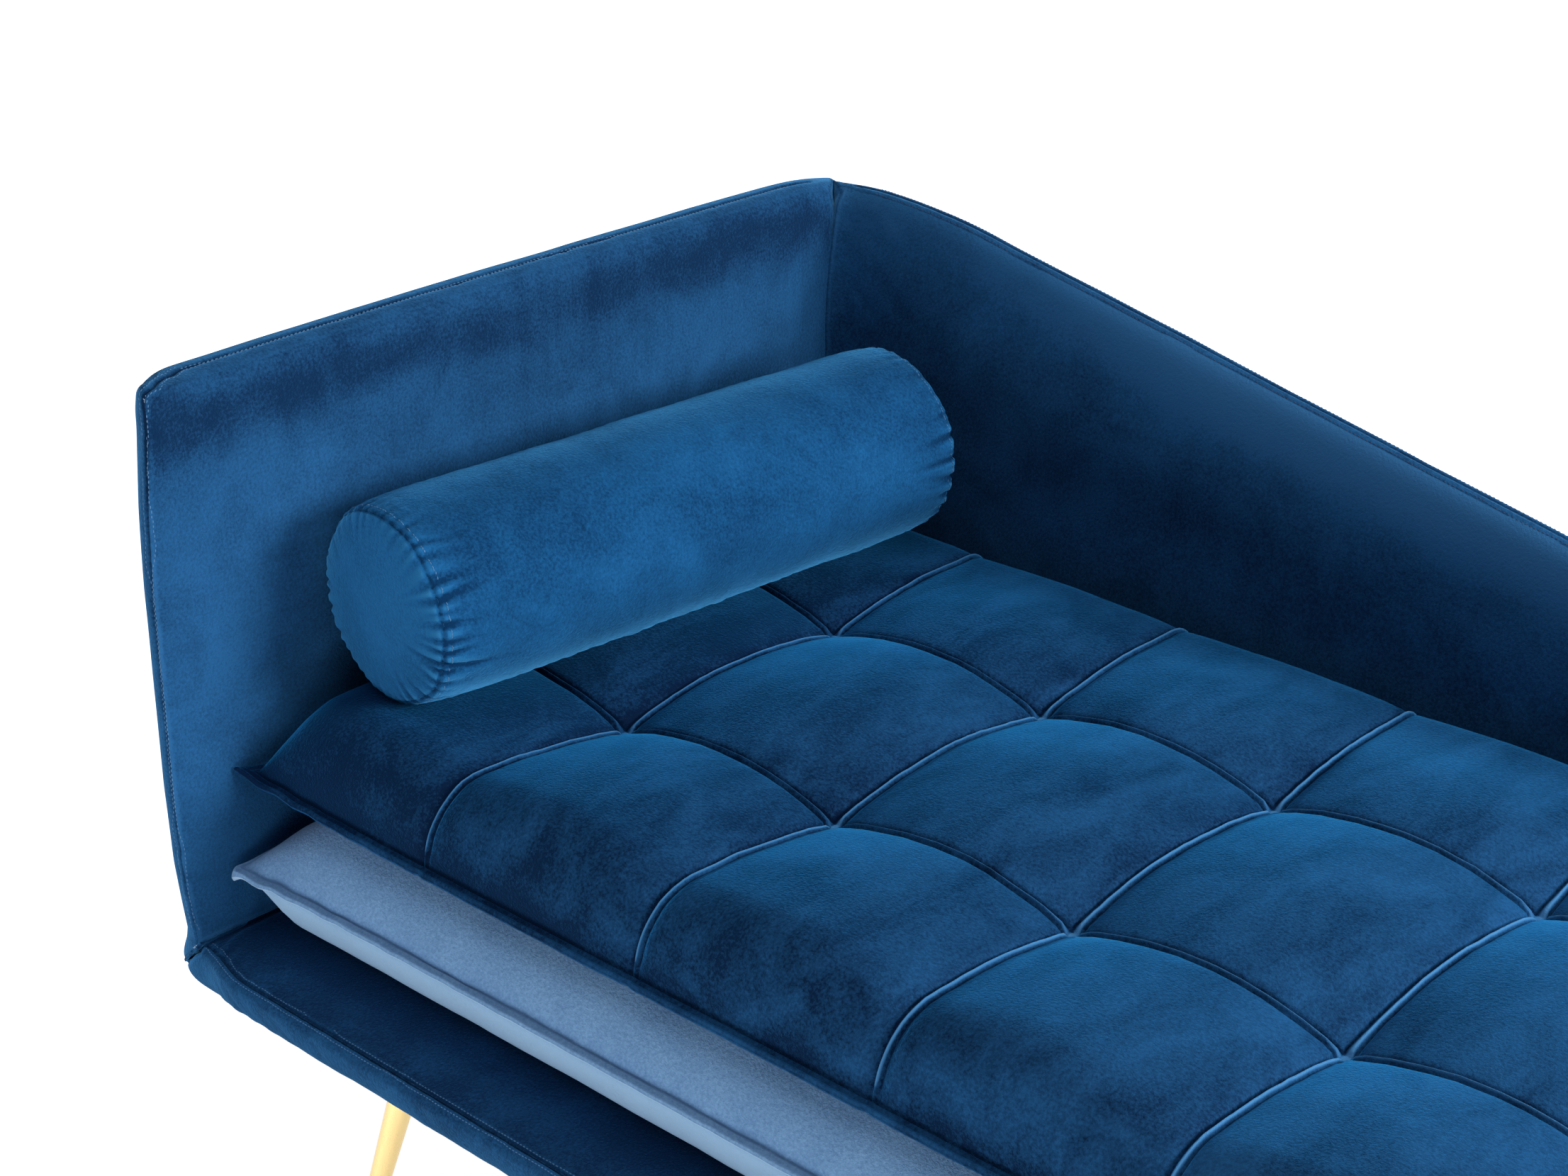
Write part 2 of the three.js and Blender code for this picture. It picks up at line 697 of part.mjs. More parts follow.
// A loop of points round a mattress seen from above, its front and foot sides drawn in
function mattressLoop(length, depth, inwards, corner, drawIn) {
  const corners = [corner, corner, corner, corner];
  const loop = roundedRectangle(inwards, length - inwards, inwards, depth - inwards, corners);
  const filled = [];
  const perCorner = arcSteps + 1;
  loop.forEach(([x, y], i) => {
    const [nextX, nextY] = loop[(i + 1) % loop.length];
    const sideSteps = Math.floor(i / perCorner) % 2 === 0 ? lengthSteps : depthSteps;
    const steps = i % perCorner === arcSteps ? sideSteps : 1;
    for (let step = 0; step < steps; step += 1) {
      filled.push([x + ((nextX - x) * step) / steps, y + ((nextY - y) * step) / steps]);
    }
  });
  return filled.map(([x, y]) => drawnIn(x, y, length, depth, drawIn));
}

function drawnIn(x, y, length, depth, amount) {
  const towardsFront = Math.max(0, 1 - (2 * y) / depth);
  const towardsFoot = Math.max(0, (2 * x) / length - 1);
  const alongX = Math.sin((Math.PI * x) / length);
  const alongY = Math.sin((Math.PI * y) / depth);
  return [x - amount * alongY * towardsFoot, y + amount * alongX * towardsFront];
}

// A pillow-shaped skin: flat faces, sides that swell out to a thin flange at mid height
function pillow(wall, steps) {
  const low = lowerFlangeRise - wall / 2;
  const high = lowerFlangeRise + lowerFlangeThickness + wall / 2;
  const root = lowerFlangeWidth + wall;
  const rings = [];
  for (let step = 0; step <= steps; step += 1) {
    const turn = (step / steps) * (Math.PI / 2);
    const swell = root + (lowerContactInset - lowerFlangeWidth) * (1 - Math.sin(turn));
    rings.push([swell, wall + (low - wall) * (1 - Math.cos(turn))]);
  }
  if (wall === 0) rings.push([0, low], [0, high]);
  for (let step = 0; step <= steps; step += 1) {
    const turn = (step / steps) * (Math.PI / 2);
    const swell = root + (lowerContactInset - lowerFlangeWidth) * (1 - Math.cos(turn));
    rings.push([swell, high + (lowerThickness - wall - high) * Math.sin(turn)]);
  }
  return loft(rings.map(([inwards, height]) => {
    const corner = lowerCornerRadius + Math.min(inwards, lowerContactInset) / 2;
    const loop = mattressLoop(lowerLength, lowerDepth, inwards, corner, lowerDrawIn);
    return loop.map(([x, y]) => [x, y, height]);
  }));
}

function buildLowerMattress() {
  const group = new THREE.Group();
  group.position.set(mattressHead, mattressFront - lowerFlangeReach, lowerBottom);
  const middle = lowerLength / 2;
  const zipRoot = lowerDepth - lowerFlangeWidth - lowerWall;
  const slot = box(
    middle - mattressZipLength / 2 - fit, middle + mattressZipLength / 2 + fit,
    zipRoot - fit, far, lowerFlangeRise - fit, lowerFlangeRise + lowerFlangeThickness + fit,
  );
  const cover = cut(pillow(0, arcSteps), pillow(lowerWall, innerArcSteps), slot);
  addPiece(group, 'lower_mattress_cover', cover, paleVelvet);
  addPiece(group, 'lower_mattress_foam', pillow(lowerWall + fit, innerArcSteps), foam);
  const zip = box(
    middle - mattressZipLength / 2, middle + mattressZipLength / 2,
    zipRoot, lowerDepth - fit, lowerFlangeRise, lowerFlangeRise + lowerFlangeThickness,
  );
  addPiece(group, 'lower_mattress_zip', zip, paleVelvet);
  return group;
}

// Share of the full crown at a place across the panels: 0 at a seam, 1 at the middle of a panel
function crownShare(at, total, endPanel, count) {
  const pitch = (total - 2 * endPanel) / (count - 2);
  const fromSeam = Math.max(endPanel - at, at - (total - endPanel));
  const share = fromSeam > 0 ? Math.min(fromSeam / pitch, 0.5) : ((at - endPanel) / pitch) % 1;
  return Math.sin(Math.PI * share);
}

// Share of the full height at a distance from an edge, as a quarter of an ellipse
function edgeShare(distance, rounding) {
  const rest = 1 - Math.min(distance / rounding, 1);
  return Math.sqrt(1 - rest * rest);
}

// Places of the grid lines: close together on the rounded edges, five to each panel between
function gridLines(total, endPanel, count, lowRounding, highRounding) {
  const pitch = (total - 2 * endPanel) / (count - 2);
  const ends = [0, 0.07, 0.28, 0.62, 1];
  const low = ends.map((share) => share * lowRounding);
  const high = ends.map((share) => total - share * highRounding).reverse();
  const lines = [...low, (lowRounding + endPanel) / 2];
  for (let panel = 0; panel < count - 2; panel += 1) {
    for (const share of [0, 0.2, 0.5, 0.8]) lines.push(endPanel + (panel + share) * pitch);
  }
  lines.push(total - endPanel, total - (highRounding + endPanel) / 2, ...high);
  return lines;
}

function tuftedTop() {
  const length = mattressLength - 2 * upperFlangeWidth;
  const depth = mattressDepth - 2 * upperFlangeWidth;
  const column = endColumn - upperFlangeWidth;
  const row = endRow - upperFlangeWidth;
  const xs = gridLines(length, column, tuftColumns, pressedEdgeRounding, freeEdgeRounding);
  const ys = gridLines(depth, row, tuftRows, freeEdgeRounding, pressedEdgeRounding);
  const rim = upperFlangeRise + upperFlangeThickness;
  const height = (x, y) => {
    const alongX = crownShare(x, length, column, tuftColumns);
    const alongY = crownShare(y, depth, row, tuftRows);
    const crown = lengthwiseArch * alongX + crosswiseArch * alongY - panelBlend * alongX * alongY;
    const shareX = edgeShare(x, pressedEdgeRounding) * edgeShare(length - x, freeEdgeRounding);
    const shareY = edgeShare(y, freeEdgeRounding) * edgeShare(depth - y, pressedEdgeRounding);
    return rim + (upperThickness - rim + crown) * shareX * shareY;
  };
  return { length, depth, xs, ys, height };
}

// The tufted mattress: a crowned and quilted top, a thin flange all round and a flat underside
function tuftedMattress() {
  const { length, depth, xs, ys, height } = tuftedTop();
  const positions = [];
  const triangles = [];
  const place = (x, y, z) => {
    const spot = [x + upperFlangeWidth, y + upperFlangeWidth];
    return positions.push(...drawnIn(...spot, mattressLength, mattressDepth, upperDrawIn), z) / 3 - 1;
  };
  const grid = ys.map((y) => xs.map((x) => place(x, y, height(x, y))));
  for (let j = 0; j < ys.length - 1; j += 1) {
    for (let i = 0; i < xs.length - 1; i += 1) {
      const [a, b, c, d] = [grid[j][i], grid[j][i + 1], grid[j + 1][i + 1], grid[j + 1][i]];
      triangles.push(a, b, c, a, c, d);
    }
  }
  const last = xs.length - 1;
  const top = ys.length - 1;
  const rim = [
    ...xs.slice(0, last).map((x, i) => [i, 0]),
    ...ys.slice(0, top).map((y, j) => [last, j]),
    ...xs.slice(0, last).map((x, i) => [last - i, top]),
    ...ys.slice(0, top).map((y, j) => [0, top - j]),
  ];
  const outwards = (index, end) => (index === 0 ? -1 : 0) + (index === end ? 1 : 0);
  const ring = (reach, z) => rim.map(([i, j]) => {
    return place(xs[i] + outwards(i, last) * reach, ys[j] + outwards(j, top) * reach, z);
  });
  const rings = [
    rim.map(([i, j]) => grid[j][i]),
    ring(upperFlangeWidth, upperFlangeRise + upperFlangeThickness),
    ring(upperFlangeWidth, upperFlangeRise),
    ring(0, 0),
  ];
  for (let r = 0; r < rings.length - 1; r += 1) {
    rim.forEach((spot, i) => {
      const next = (i + 1) % rim.length;
      const [a, b, c, d] = [rings[r][i], rings[r][next], rings[r + 1][next], rings[r + 1][i]];
      triangles.push(a, c, b, a, d, c);
    });
  }
  const middle = place(length / 2, depth / 2, 0);
  rim.forEach((spot, i) => triangles.push(middle, rings[3][(i + 1) % rim.length], rings[3][i]));
  return closedMesh(positions, triangles);
}

// Height of the flat faces between the grid lines of the tufted top, at a place on the mattress
function restHeight(mattressX, mattressY) {
  const { xs, ys, height } = tuftedTop();
  const [x, y] = [mattressX - upperFlangeWidth, mattressY - upperFlangeWidth];
  const i = xs.findLastIndex((line, at) => line <= x && at < xs.length - 1);
  const j = ys.findLastIndex((line, at) => line <= y && at < ys.length - 1);
  const u = (x - xs[i]) / (xs[i + 1] - xs[i]);
  const v = (y - ys[j]) / (ys[j + 1] - ys[j]);
  const near = height(xs[i], ys[j]) * (1 - u) + height(xs[i + 1], ys[j]) * u;
  const away = height(xs[i], ys[j + 1]) * (1 - u) + height(xs[i + 1], ys[j + 1]) * u;
  return near * (1 - v) + away * v;
}

function buildUpperMattress() {
  const group = new THREE.Group();
  group.position.set(mattressHead, mattressFront, upperBottom);
  addPiece(group, 'upper_mattress', tuftedMattress(), velvet);
  return group;
}

// Bolster, lying across the head end, turned a little away from the head panel

const bolsterAngle = THREE.MathUtils.degToRad(bolsterTurn);
const bolsterDepth = mattressDepth - bolsterFrontInset - bolsterBackInset;
const bolsterLength = bolsterDepth / Math.cos(bolsterAngle);

function bolsterOutline(wall) {
  const radius = bolsterDiameter / 2 - wall;
  const half = bolsterLength / 2 - wall;
  const dome = bolsterDome;
  const neck = radius - bolsterNeck;
  const end = [
    [0, half + dome], [radius * 0.45, half + dome * 0.86], [radius * 0.8, half + dome * 0.4],
    [neck, half], [radius - 1, half - bolsterEndRounding], [radius, half - bolsterShoulder],
  ];
  return [...end.map(([r, z]) => [r, -z]), ...end.reverse()];
}

function buildBolster() {
  const group = new THREE.Group();
  const radius = bolsterDiameter / 2;
  const at = (share) => {
    return [radius + Math.tan(bolsterAngle) * share * bolsterDepth, bolsterFrontInset + share * bolsterDepth];
  };
  const supports = [];
  for (let step = 0; step <= bolsterRestSteps; step += 1) {
    supports.push(restHeight(...at(step / bolsterRestSteps)));
  }
  const [x, y] = at(0.5);
  const rest = upperBottom + Math.max(...supports) + fit;
  group.position.set(mattressHead + x, mattressFront + y, rest + radius);
  group.rotation.z = -bolsterAngle;
  const lay = (geometry) => geometry.rotateX(-Math.PI / 2);
  const inWall = (clearance, from, to) => {
    const wide = zipWidth / 2 + clearance;
    const long = bolsterZipLength / 2 + clearance;
    return box(-wide, wide, -long, long, from, to).rotateY(THREE.MathUtils.degToRad(bolsterZipTurn));
  };
  const zipFace = radius - bolsterWall;
  const cover = cut(
    lay(turned(bolsterOutline(0), bolsterSides)),
    lay(turned(bolsterOutline(bolsterWall), bolsterSides)),
    inWall(fit, 0, radius * 2),
  );
  addPiece(group, 'bolster_cover', cover, brightVelvet);
  addPiece(group, 'bolster_filling', lay(turned(bolsterOutline(bolsterWall + fit), bolsterSides)), foam);
  addPiece(group, 'bolster_zip', inWall(0, zipFace + fit, radius - bolsterZipDepth), brightVelvet);
  return group;
}

const shell = new THREE.Group();
buildFrame(shell);
buildBoards(shell);
buildFasteners(shell);
buildPlatformCovers(shell);
buildHeadCover(shell);
buildBackCover(shell);
couch.add(shell);

for (const row of legRows) {
  for (const column of legColumns) {
    couch.add(buildLeg(`${row.name}_${column.name}`, column.x, row.y, column.side, row.side));
  }
}

couch.add(buildLowerMattress(), buildUpperMattress(), buildBolster());
couch.name = 'fainting_couch';

export default couch;
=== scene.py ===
"""Fainting couch: padded head panel, sloping back panel and platform, two loose mattresses, a bolster."""

import math

import bpy
import numpy as np
from mathutils import Matrix, Vector, noise
from mathutils.bvhtree import BVHTree
from mathutils.kdtree import KDTree


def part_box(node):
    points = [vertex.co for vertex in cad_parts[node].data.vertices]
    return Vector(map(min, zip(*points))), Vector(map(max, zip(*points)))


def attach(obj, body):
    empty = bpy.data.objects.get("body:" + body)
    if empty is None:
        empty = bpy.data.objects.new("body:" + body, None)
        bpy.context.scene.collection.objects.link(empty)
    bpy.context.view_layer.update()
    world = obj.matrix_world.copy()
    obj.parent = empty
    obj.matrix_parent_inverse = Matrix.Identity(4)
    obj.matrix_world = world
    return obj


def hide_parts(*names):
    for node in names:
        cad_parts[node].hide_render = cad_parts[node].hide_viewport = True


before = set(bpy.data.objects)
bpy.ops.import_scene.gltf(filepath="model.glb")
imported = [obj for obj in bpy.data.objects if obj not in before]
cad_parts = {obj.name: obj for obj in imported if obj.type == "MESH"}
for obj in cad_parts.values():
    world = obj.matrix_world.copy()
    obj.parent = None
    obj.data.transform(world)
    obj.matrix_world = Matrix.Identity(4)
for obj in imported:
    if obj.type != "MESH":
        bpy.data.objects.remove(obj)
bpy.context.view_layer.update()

# Sizes below are in millimetres, and are turned into metres when a mesh gets its points
MM = 0.001

# Camera of the photograph
VIEW_TURN = 43.40353
VIEW_TILT = 24.27789
LENS = 66.90
SENSOR = 36
EYE = Vector((0.75281, -1.39150, 1.35238))


def make_camera():
    turn = math.radians(VIEW_TURN)
    tilt = math.radians(VIEW_TILT)
    level = Vector((math.sin(turn), -math.cos(turn), 0))
    back = level * math.cos(tilt) + Vector((0, 0, math.sin(tilt)))
    right = Vector((math.cos(turn), math.sin(turn), 0))
    data = bpy.data.cameras.new("camera")
    data.lens = LENS
    data.sensor_width = SENSOR
    camera = bpy.data.objects.new("camera", data)
    bpy.context.scene.collection.objects.link(camera)
    axes = Matrix((right, back.cross(right), back)).transposed()
    camera.matrix_world = Matrix.Translation(EYE) @ axes.to_4x4()
    bpy.context.scene.camera = camera


make_camera()


def node_box(name):
    """Lowest and highest corner of a CAD node, in millimetres."""
    low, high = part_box(name)
    return np.array(low) / MM, np.array(high) / MM


# Places of the shell's faces, taken from the frame
head_low, head_high = node_box("head_panel_cover")
back_low, back_high = node_box("back_panel_cover")
band_low, band_high = node_box("platform_front_band")
top_low, top_high = node_box("platform_top_cover")
HEAD_OUT, HEAD_IN = head_low[0] + 1, head_high[0]
FOOT_OUT = back_high[0]
FRONT_OUT = band_low[1]
BACK_IN, BACK_OUT = back_low[1], back_high[1]
UNDER, SEAT, TOP = head_low[2], band_high[2], head_high[2]
BAND_BACK = band_high[1]
BAND_FOOT = FOOT_OUT - (BAND_BACK - FRONT_OUT)
HEAD_STEP = top_low[0] - 0.3

# Each face as its axis, its place and the side it looks to
HEAD_FACE = (0, HEAD_OUT, -1)
HEAD_INSIDE = (0, HEAD_IN, 1)
FOOT_FACE = (0, FOOT_OUT, 1)
FRONT_FACE = (1, FRONT_OUT, -1)
BACK_FACE = (1, BACK_OUT, 1)
BACK_INSIDE = (1, BACK_IN, -1)
UNDER_FACE = (2, UNDER, -1)
SEAT_FACE = (2, SEAT, 1)
TOP_FACE = (2, TOP, 1)

# Roundings of the shell's edges, each as two radii
NOSE = (44, 55)
NOSE_LOW = (30, 36)
NOSE_BOTTOM = (38, 40)
HEAD_BOTTOM_FRONT = (37, 37)
HEAD_BOTTOM = (24, 24)
HEAD_TOP_FRONT = (24, 22)
HEAD_TOP_CORNER = (8, 7)
HEAD_TOP_OUTER = (18, 20)
TOP_INNER = (17, 17)
TOP_INNER_FRONT = (4, 4)
BACK_TOP_OUTER = (28, 50)
BACK_END = (55, 55)
BACK_END_INNER = (8, 8)
OUTER_CORNER = (22, 22)
FOOT_CORNER = (40, 40)
FOOT_BOTTOM = (30, 30)
SEAM_CORNER = (12, 12)
PLATFORM_EDGE = (5, 5)
# How far the front stands back beside the head end's corner: heights over the underside, and amounts
SETBACK_HEIGHTS = (0, 25, 48, 108, 168, 324, 384, 444)
SETBACKS = (2, 9, 14, 7, 4.5, 4.5, 7, 12.5)

# Distances of the cuts on each side of a line where a shape turns or is sewn
SEAM_CUTS = (0.5, 1.1, 1.9, 3, 4.6, 7)
BAND_CUTS = (0.6, 1.4, 2.4, 3.6)
END_CUTS = (1, 2.2, 4, 6.5, 10, 14, 19, 25, 32, 40)
HEIGHT_CUTS = (0.4, 1.5, 3, 5, 8, 12, 17, 23, 30)
# Most strips that are cut in one go
MOST_CUTS = 100
# Usual distance between the gathers along a seam
GATHER_PITCH = 7


# Modelling helpers

def active(piece):
    bpy.ops.object.select_all(action="DESELECT")
    piece.select_set(True)
    bpy.context.view_layer.objects.active = piece


def primitive(operator, name, **options):
    """A simple body under its own name."""
    bpy.ops.object.select_all(action="DESELECT")
    operator(**options)
    piece = bpy.context.object
    piece.name = piece.data.name = name
    return piece


def read(items, key, width=3, kind=np.float32):
    """A row of values for each point, edge or face."""
    values = np.empty(len(items) * width, dtype=kind)
    items.foreach_get(key, values)
    return values.reshape(-1, width)


def points(piece):
    """Points of a mesh in millimetres."""
    return read(piece.data.vertices, "co").astype(float) / MM


def set_points(piece, p):
    piece.data.vertices.foreach_set("co", (p * MM).astype(np.float32).ravel())
    piece.data.update()


def normals(piece):
    return read(piece.data.vertex_normals, "vector").astype(float)


def face_centres(piece):
    return read(piece.data.polygons, "center").astype(float) / MM


def edge_ends(piece):
    """The two end points of each edge."""
    ends = read(piece.data.edges, "vertices", 2, np.int32)
    p = points(piece)
    return p[ends[:, 0]], p[ends[:, 1]]


def edges_along(piece, axis):
    first, second = edge_ends(piece)
    return np.abs(first - second).argmax(1) == axis


def pick(piece, kind, wanted):
    """Selects the edges or faces for which wanted is true, and nothing else."""
    data = piece.data
    bpy.context.tool_settings.mesh_select_mode = (False, kind == "EDGE", kind == "FACE")
    for items in (data.vertices, data.edges, data.polygons):
        items.foreach_set("select", np.zeros(len(items), bool))
    items = data.edges if kind == "EDGE" else data.polygons
    items.foreach_set("select", np.asarray(wanted, bool))


def edit(piece, operator, **options):
    active(piece)
    bpy.ops.object.mode_set(mode="EDIT")
    operator(**options)
    bpy.ops.object.mode_set(mode="OBJECT")


def cut_edges(piece, wanted, number):
    """Cuts each wanted edge into a number of equal lengths."""
    if number > 1:
        pick(piece, "EDGE", wanted)
        edit(piece, bpy.ops.mesh.subdivide, number_cuts=number - 1)


def bevel(piece, width, segments):
    pick(piece, "EDGE", np.ones(len(piece.data.edges), bool))
    edit(piece, bpy.ops.mesh.bevel, offset=width * MM, segments=segments)


def keep_faces(piece, wanted):
    pick(piece, "FACE", ~np.asarray(wanted, bool))
    edit(piece, bpy.ops.mesh.delete, type="FACE")


def spaced(low, high, step, seams=(), fine=SEAM_CUTS):
    """Places of the cuts between two ends: at a steady step, and close together beside each seam."""
    count = max(2, round((high - low) / step))
    lines = [low + (high - low) * i / count for i in range(count + 1)]
    clear = fine[-1] + step / 3
    lines = [v for v in lines if all(abs(v - s) > clear for s in seams) or v in (low, high)]
    for seam in seams:
        lines += [seam] + [seam + side * d for d in fine for side in (-1, 1)]
    lines = sorted({round(v, 3) for v in lines if low - 1e-6 <= v <= high + 1e-6})
    lines = [v for i, v in enumerate(lines) if i == 0 or v - lines[i - 1] > 0.3 or v == round(high, 3)]
    if len(lines) > MOST_CUTS + 1 and len(lines) % 2 == 0:
        wide = max(range(len(lines) - 1), key=lambda i: lines[i + 1] - lines[i])
        lines.insert(wide + 1, (lines[wide] + lines[wide + 1]) / 2)
    return lines


def cut_block(name, *cuts):
    """A box with its faces cut at the given places along each axis."""
    sides = [len(lines) - 1 for lines in cuts]
    piece = primitive(bpy.ops.mesh.primitive_cube_add, name, size=1)
    set_points(piece, (points(piece) * MM + 0.5) * sides)
    for axis, count in enumerate(sides):
        for number in [count] if count <= MOST_CUTS else [2, count // 2]:
            cut_edges(piece, edges_along(piece, axis), number)
    p = points(piece)
    for axis, lines in enumerate(cuts):
        p[:, axis] = np.asarray(lines)[np.rint(p[:, axis]).astype(int)]
    set_points(piece, p)
    return piece


def round_edge(p, first, second, radii):
    """Moves points on the sharp edge between two faces onto a quarter of an ellipse."""
    (i, at_i, side_i), (j, at_j, side_j) = first, second
    a = (p[:, i] - at_i) * side_i / radii[0] + 1
    b = (p[:, j] - at_j) * side_j / radii[1] + 1
    near = (a > 0) & (b > 0)
    share = np.maximum(a, b) / np.maximum(np.hypot(a, b), 1e-9)
    p[near, i] = (at_i + side_i * radii[0] * (a * share - 1))[near]
    p[near, j] = (at_j + side_j * radii[1] * (b * share - 1))[near]


def round_changing(p, first, second, radii, others, share):
    """Rounds an edge whose radii change along it: share says how much of the others each point gets."""
    other = p.copy()
    round_edge(other, first, second, others)
    round_edge(p, first, second, radii)
    p += (other - p) * share[:, None]


def smooth_step(value):
    t = np.clip(value, 0, 1)
    return t * t * (3 - 2 * t)


def bump_at(value, middle, width):
    return np.exp(-(((value - middle) / width) ** 2))


def fade(distance, reach):
    return np.exp(-distance / reach)


def arch(value):
    """0 at both ends of a span from 0 to 1, and 1 midway."""
    return np.sin(np.pi * np.clip(value, 0, 1))


def from_rim(x, y, low, high):
    """Distance from the nearest edge of a rectangle."""
    return np.minimum(np.minimum(x - low[0], high[0] - x), np.minimum(y - low[1], high[1] - y))


def unit(v):
    v = np.asarray(v, float)
    return v / np.maximum(np.linalg.norm(v, axis=-1, keepdims=True), 1e-9)


def finish_mesh(piece, levels=1, thickness=0.0):
    """Gives a skin its thickness, then a finer surface, and smooth shading."""
    active(piece)
    if thickness:
        solid = piece.modifiers.new("thickness", "SOLIDIFY")
        solid.thickness = thickness * MM
        solid.offset = -1
        bpy.ops.object.modifier_apply(modifier=solid.name)
    if levels:
        finer = piece.modifiers.new("finer", "SUBSURF")
        finer.levels = finer.render_levels = levels
        finer.boundary_smooth = "PRESERVE_CORNERS"
        bpy.ops.object.modifier_apply(modifier=finer.name)
    bpy.ops.object.shade_smooth()


def swell(piece, amount):
    """Moves each point out along its normal by an amount in millimetres."""
    set_points(piece, points(piece) + normals(piece) * np.asarray(amount).reshape(-1, 1))


def unevenness(p, scale, seed):
    """A smooth random value from -1 to 1 at each point."""
    offset = Vector((seed * 7.3, seed * 3.1, seed * 5.7))
    return np.array([noise.noise(Vector(q) / scale + offset) for q in p])


def along_path(count, seed):
    """Uneven gathers along a seam: a value from 0 up for each of its points, a millimetre apart."""
    values = []
    for i in range(count):
        s = i / GATHER_PITCH
        wave = noise.noise(Vector((s, seed * 3.7, 0.3)))
        wave += 0.6 * noise.noise(Vector((s * 2.3, seed * 1.9, 4.1)))
        patch = 0.55 + 0.9 * noise.noise(Vector((s / 6, seed * 2.3, 9.2)))
        values.append(max(0.0, 0.35 + wave) * max(0.1, patch))
    return np.array(values)


def dense(path, step=1.0):
    """The same path with a point at every step."""
    path = np.asarray(path, float)
    lengths = np.linalg.norm(np.diff(path, axis=0), axis=1)
    run = np.concatenate([[0], np.cumsum(lengths)])
    spots = np.arange(0, run[-1] + 1e-6, step)
    return np.stack([np.interp(spots, run, path[:, k]) for k in range(3)], 1)


def paint_light_and_shade(piece, value):
    """Adds painted light, above 0, or painted shade, below 0, to a piece's colour through a point attribute.
    """
    layer = piece.data.attributes.get("painted_shading") or piece.data.attributes.new("painted_shading", "FLOAT", "POINT")
    kept = read(layer.data, "value", 1).ravel()
    layer.data.foreach_set("value", (kept + value).astype(np.float32))


def sew(piece, path, depth, width, pucker, reach, seed):
    """Draws the cloth in along a seam, with short gathers across it, and paints shade in the groove and
    gathers and a highlight on the lips.
    """
    path = dense(path)
    tree = KDTree(len(path))
    for i, spot in enumerate(path):
        tree.insert(Vector(spot), i)
    tree.balance()
    gathers = along_path(len(path), seed)
    p = points(piece)
    far = 3 * max(reach, width)
    near = ((p > path.min(0) - far) & (p < path.max(0) + far)).all(1)
    amount = np.zeros(len(p))
    painted_shading = np.zeros(len(p))
    for v in np.flatnonzero(near):
        _, i, d = tree.find(Vector(p[v]))
        gather = gathers[i] * math.exp(-((d / reach) ** 2))
        groove = depth * math.exp(-((d / width) ** 2))
        lip = math.exp(-(((d - 2.1 * width) / (0.8 * width)) ** 2))
        amount[v] = -groove - pucker * gather
        # Painted shade in the groove and the gathers, and a painted highlight on the lip beside them.
        painted_shading[v] = 0.5 * lip - 0.38 * groove - 0.45 * pucker * (gather - 0.25 * (gather > 0))
    swell(piece, amount)
    paint_light_and_shade(piece, painted_shading)


def press_folds(piece, folds):
    """Presses short folds in a surface: each has two ends, a depth and a width, and is deepest midway."""
    p = points(piece)
    amount = np.zeros(len(p))
    for start, end, depth, width in folds:
        start, span = np.array(start, float), np.subtract(end, start).astype(float)
        t = np.clip((p - start) @ span / (span @ span), 0, 1)
        d = np.linalg.norm(p - start - t[:, None] * span, axis=1)
        form = bump_at(d, 0, width) - 0.5 * bump_at(d, 1.9 * width, width)
        amount -= depth * form * (0.25 + 0.75 * np.sin(np.pi * t))
    swell(piece, amount)
    # Painted shade in each fold, and a little painted light beside it.
    paint_light_and_shade(piece, 0.3 * np.clip(amount, -1.5, 1.5))


def settle_cloth(piece, pinned, pressure, spare, cap, frames=20):
    """Simulates the cover as cloth over its filling: pinned places stay, and spare cloth finds its folds."""
    before = points(piece)
    group = piece.vertex_groups.new(name="pinned")
    for step in range(1, 11):
        chosen = np.flatnonzero(np.rint(np.clip(pinned, 0, 1) * 10) == step)
        if len(chosen):
            group.add(chosen.tolist(), step / 10, "REPLACE")
    cloth = piece.modifiers.new("cloth", "CLOTH")
    cloth.settings.quality = 5
    cloth.settings.use_pressure = True
    cloth.settings.uniform_pressure_force = pressure
    cloth.settings.shrink_min = -spare
    cloth.settings.vertex_group_mass = group.name
    cloth.settings.effector_weights.gravity = 0
    cloth.collision_settings.use_collision = False
    cloth.point_cache.frame_start = 1
    cloth.point_cache.frame_end = frames
    for frame_number in range(1, frames + 1):
        bpy.context.scene.frame_set(frame_number)
    shown = piece.evaluated_get(bpy.context.evaluated_depsgraph_get())
    move = points(shown) - before
    piece.modifiers.remove(cloth)
    piece.vertex_groups.remove(piece.vertex_groups[group.name])
    bpy.context.scene.frame_set(1)
    length = np.linalg.norm(move, axis=1, keepdims=True)
    set_points(piece, before + move * np.minimum(1, cap / np.maximum(length, 1e-9)))


def claim(piece, body, material_name, material, *nodes, fill=None):
    """Hangs a piece on the body it rides on, gives it its material and hides the nodes it stands for."""
    piece.data.materials.clear()
    piece.data.materials.append(material)
    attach(piece, body)
    if nodes:
        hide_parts(*nodes)
    return piece


# Materials

def new_material(name):
    material = bpy.data.materials.new(name)
    material.use_nodes = True
    tree = material.node_tree
    return material, tree, tree.nodes["Principled BSDF"]


def set_inputs(tree, node, inputs):
    """Gives each input a value, or a link when the value is another node's output."""
    for key, value in dict(inputs).items():
        if isinstance(value, bpy.types.NodeSocket):
            tree.links.new(value, node.inputs[key])
        else:
            node.inputs[key].default_value = value


def add_node(tree, kind, inputs=(), output=0, **settings):
    """Adds a node and returns one of its outputs."""
    node = tree.nodes.new("ShaderNode" + kind)
    for key, value in settings.items():
        setattr(node, key, value)
    set_inputs(tree, node, inputs)
    return node.outputs[output]


def placed(tree, scale=(1, 1, 1)):
    coords = add_node(tree, "TexCoord", output="Object")
    return add_node(tree, "Mapping", {"Vector": coords, "Scale": scale})


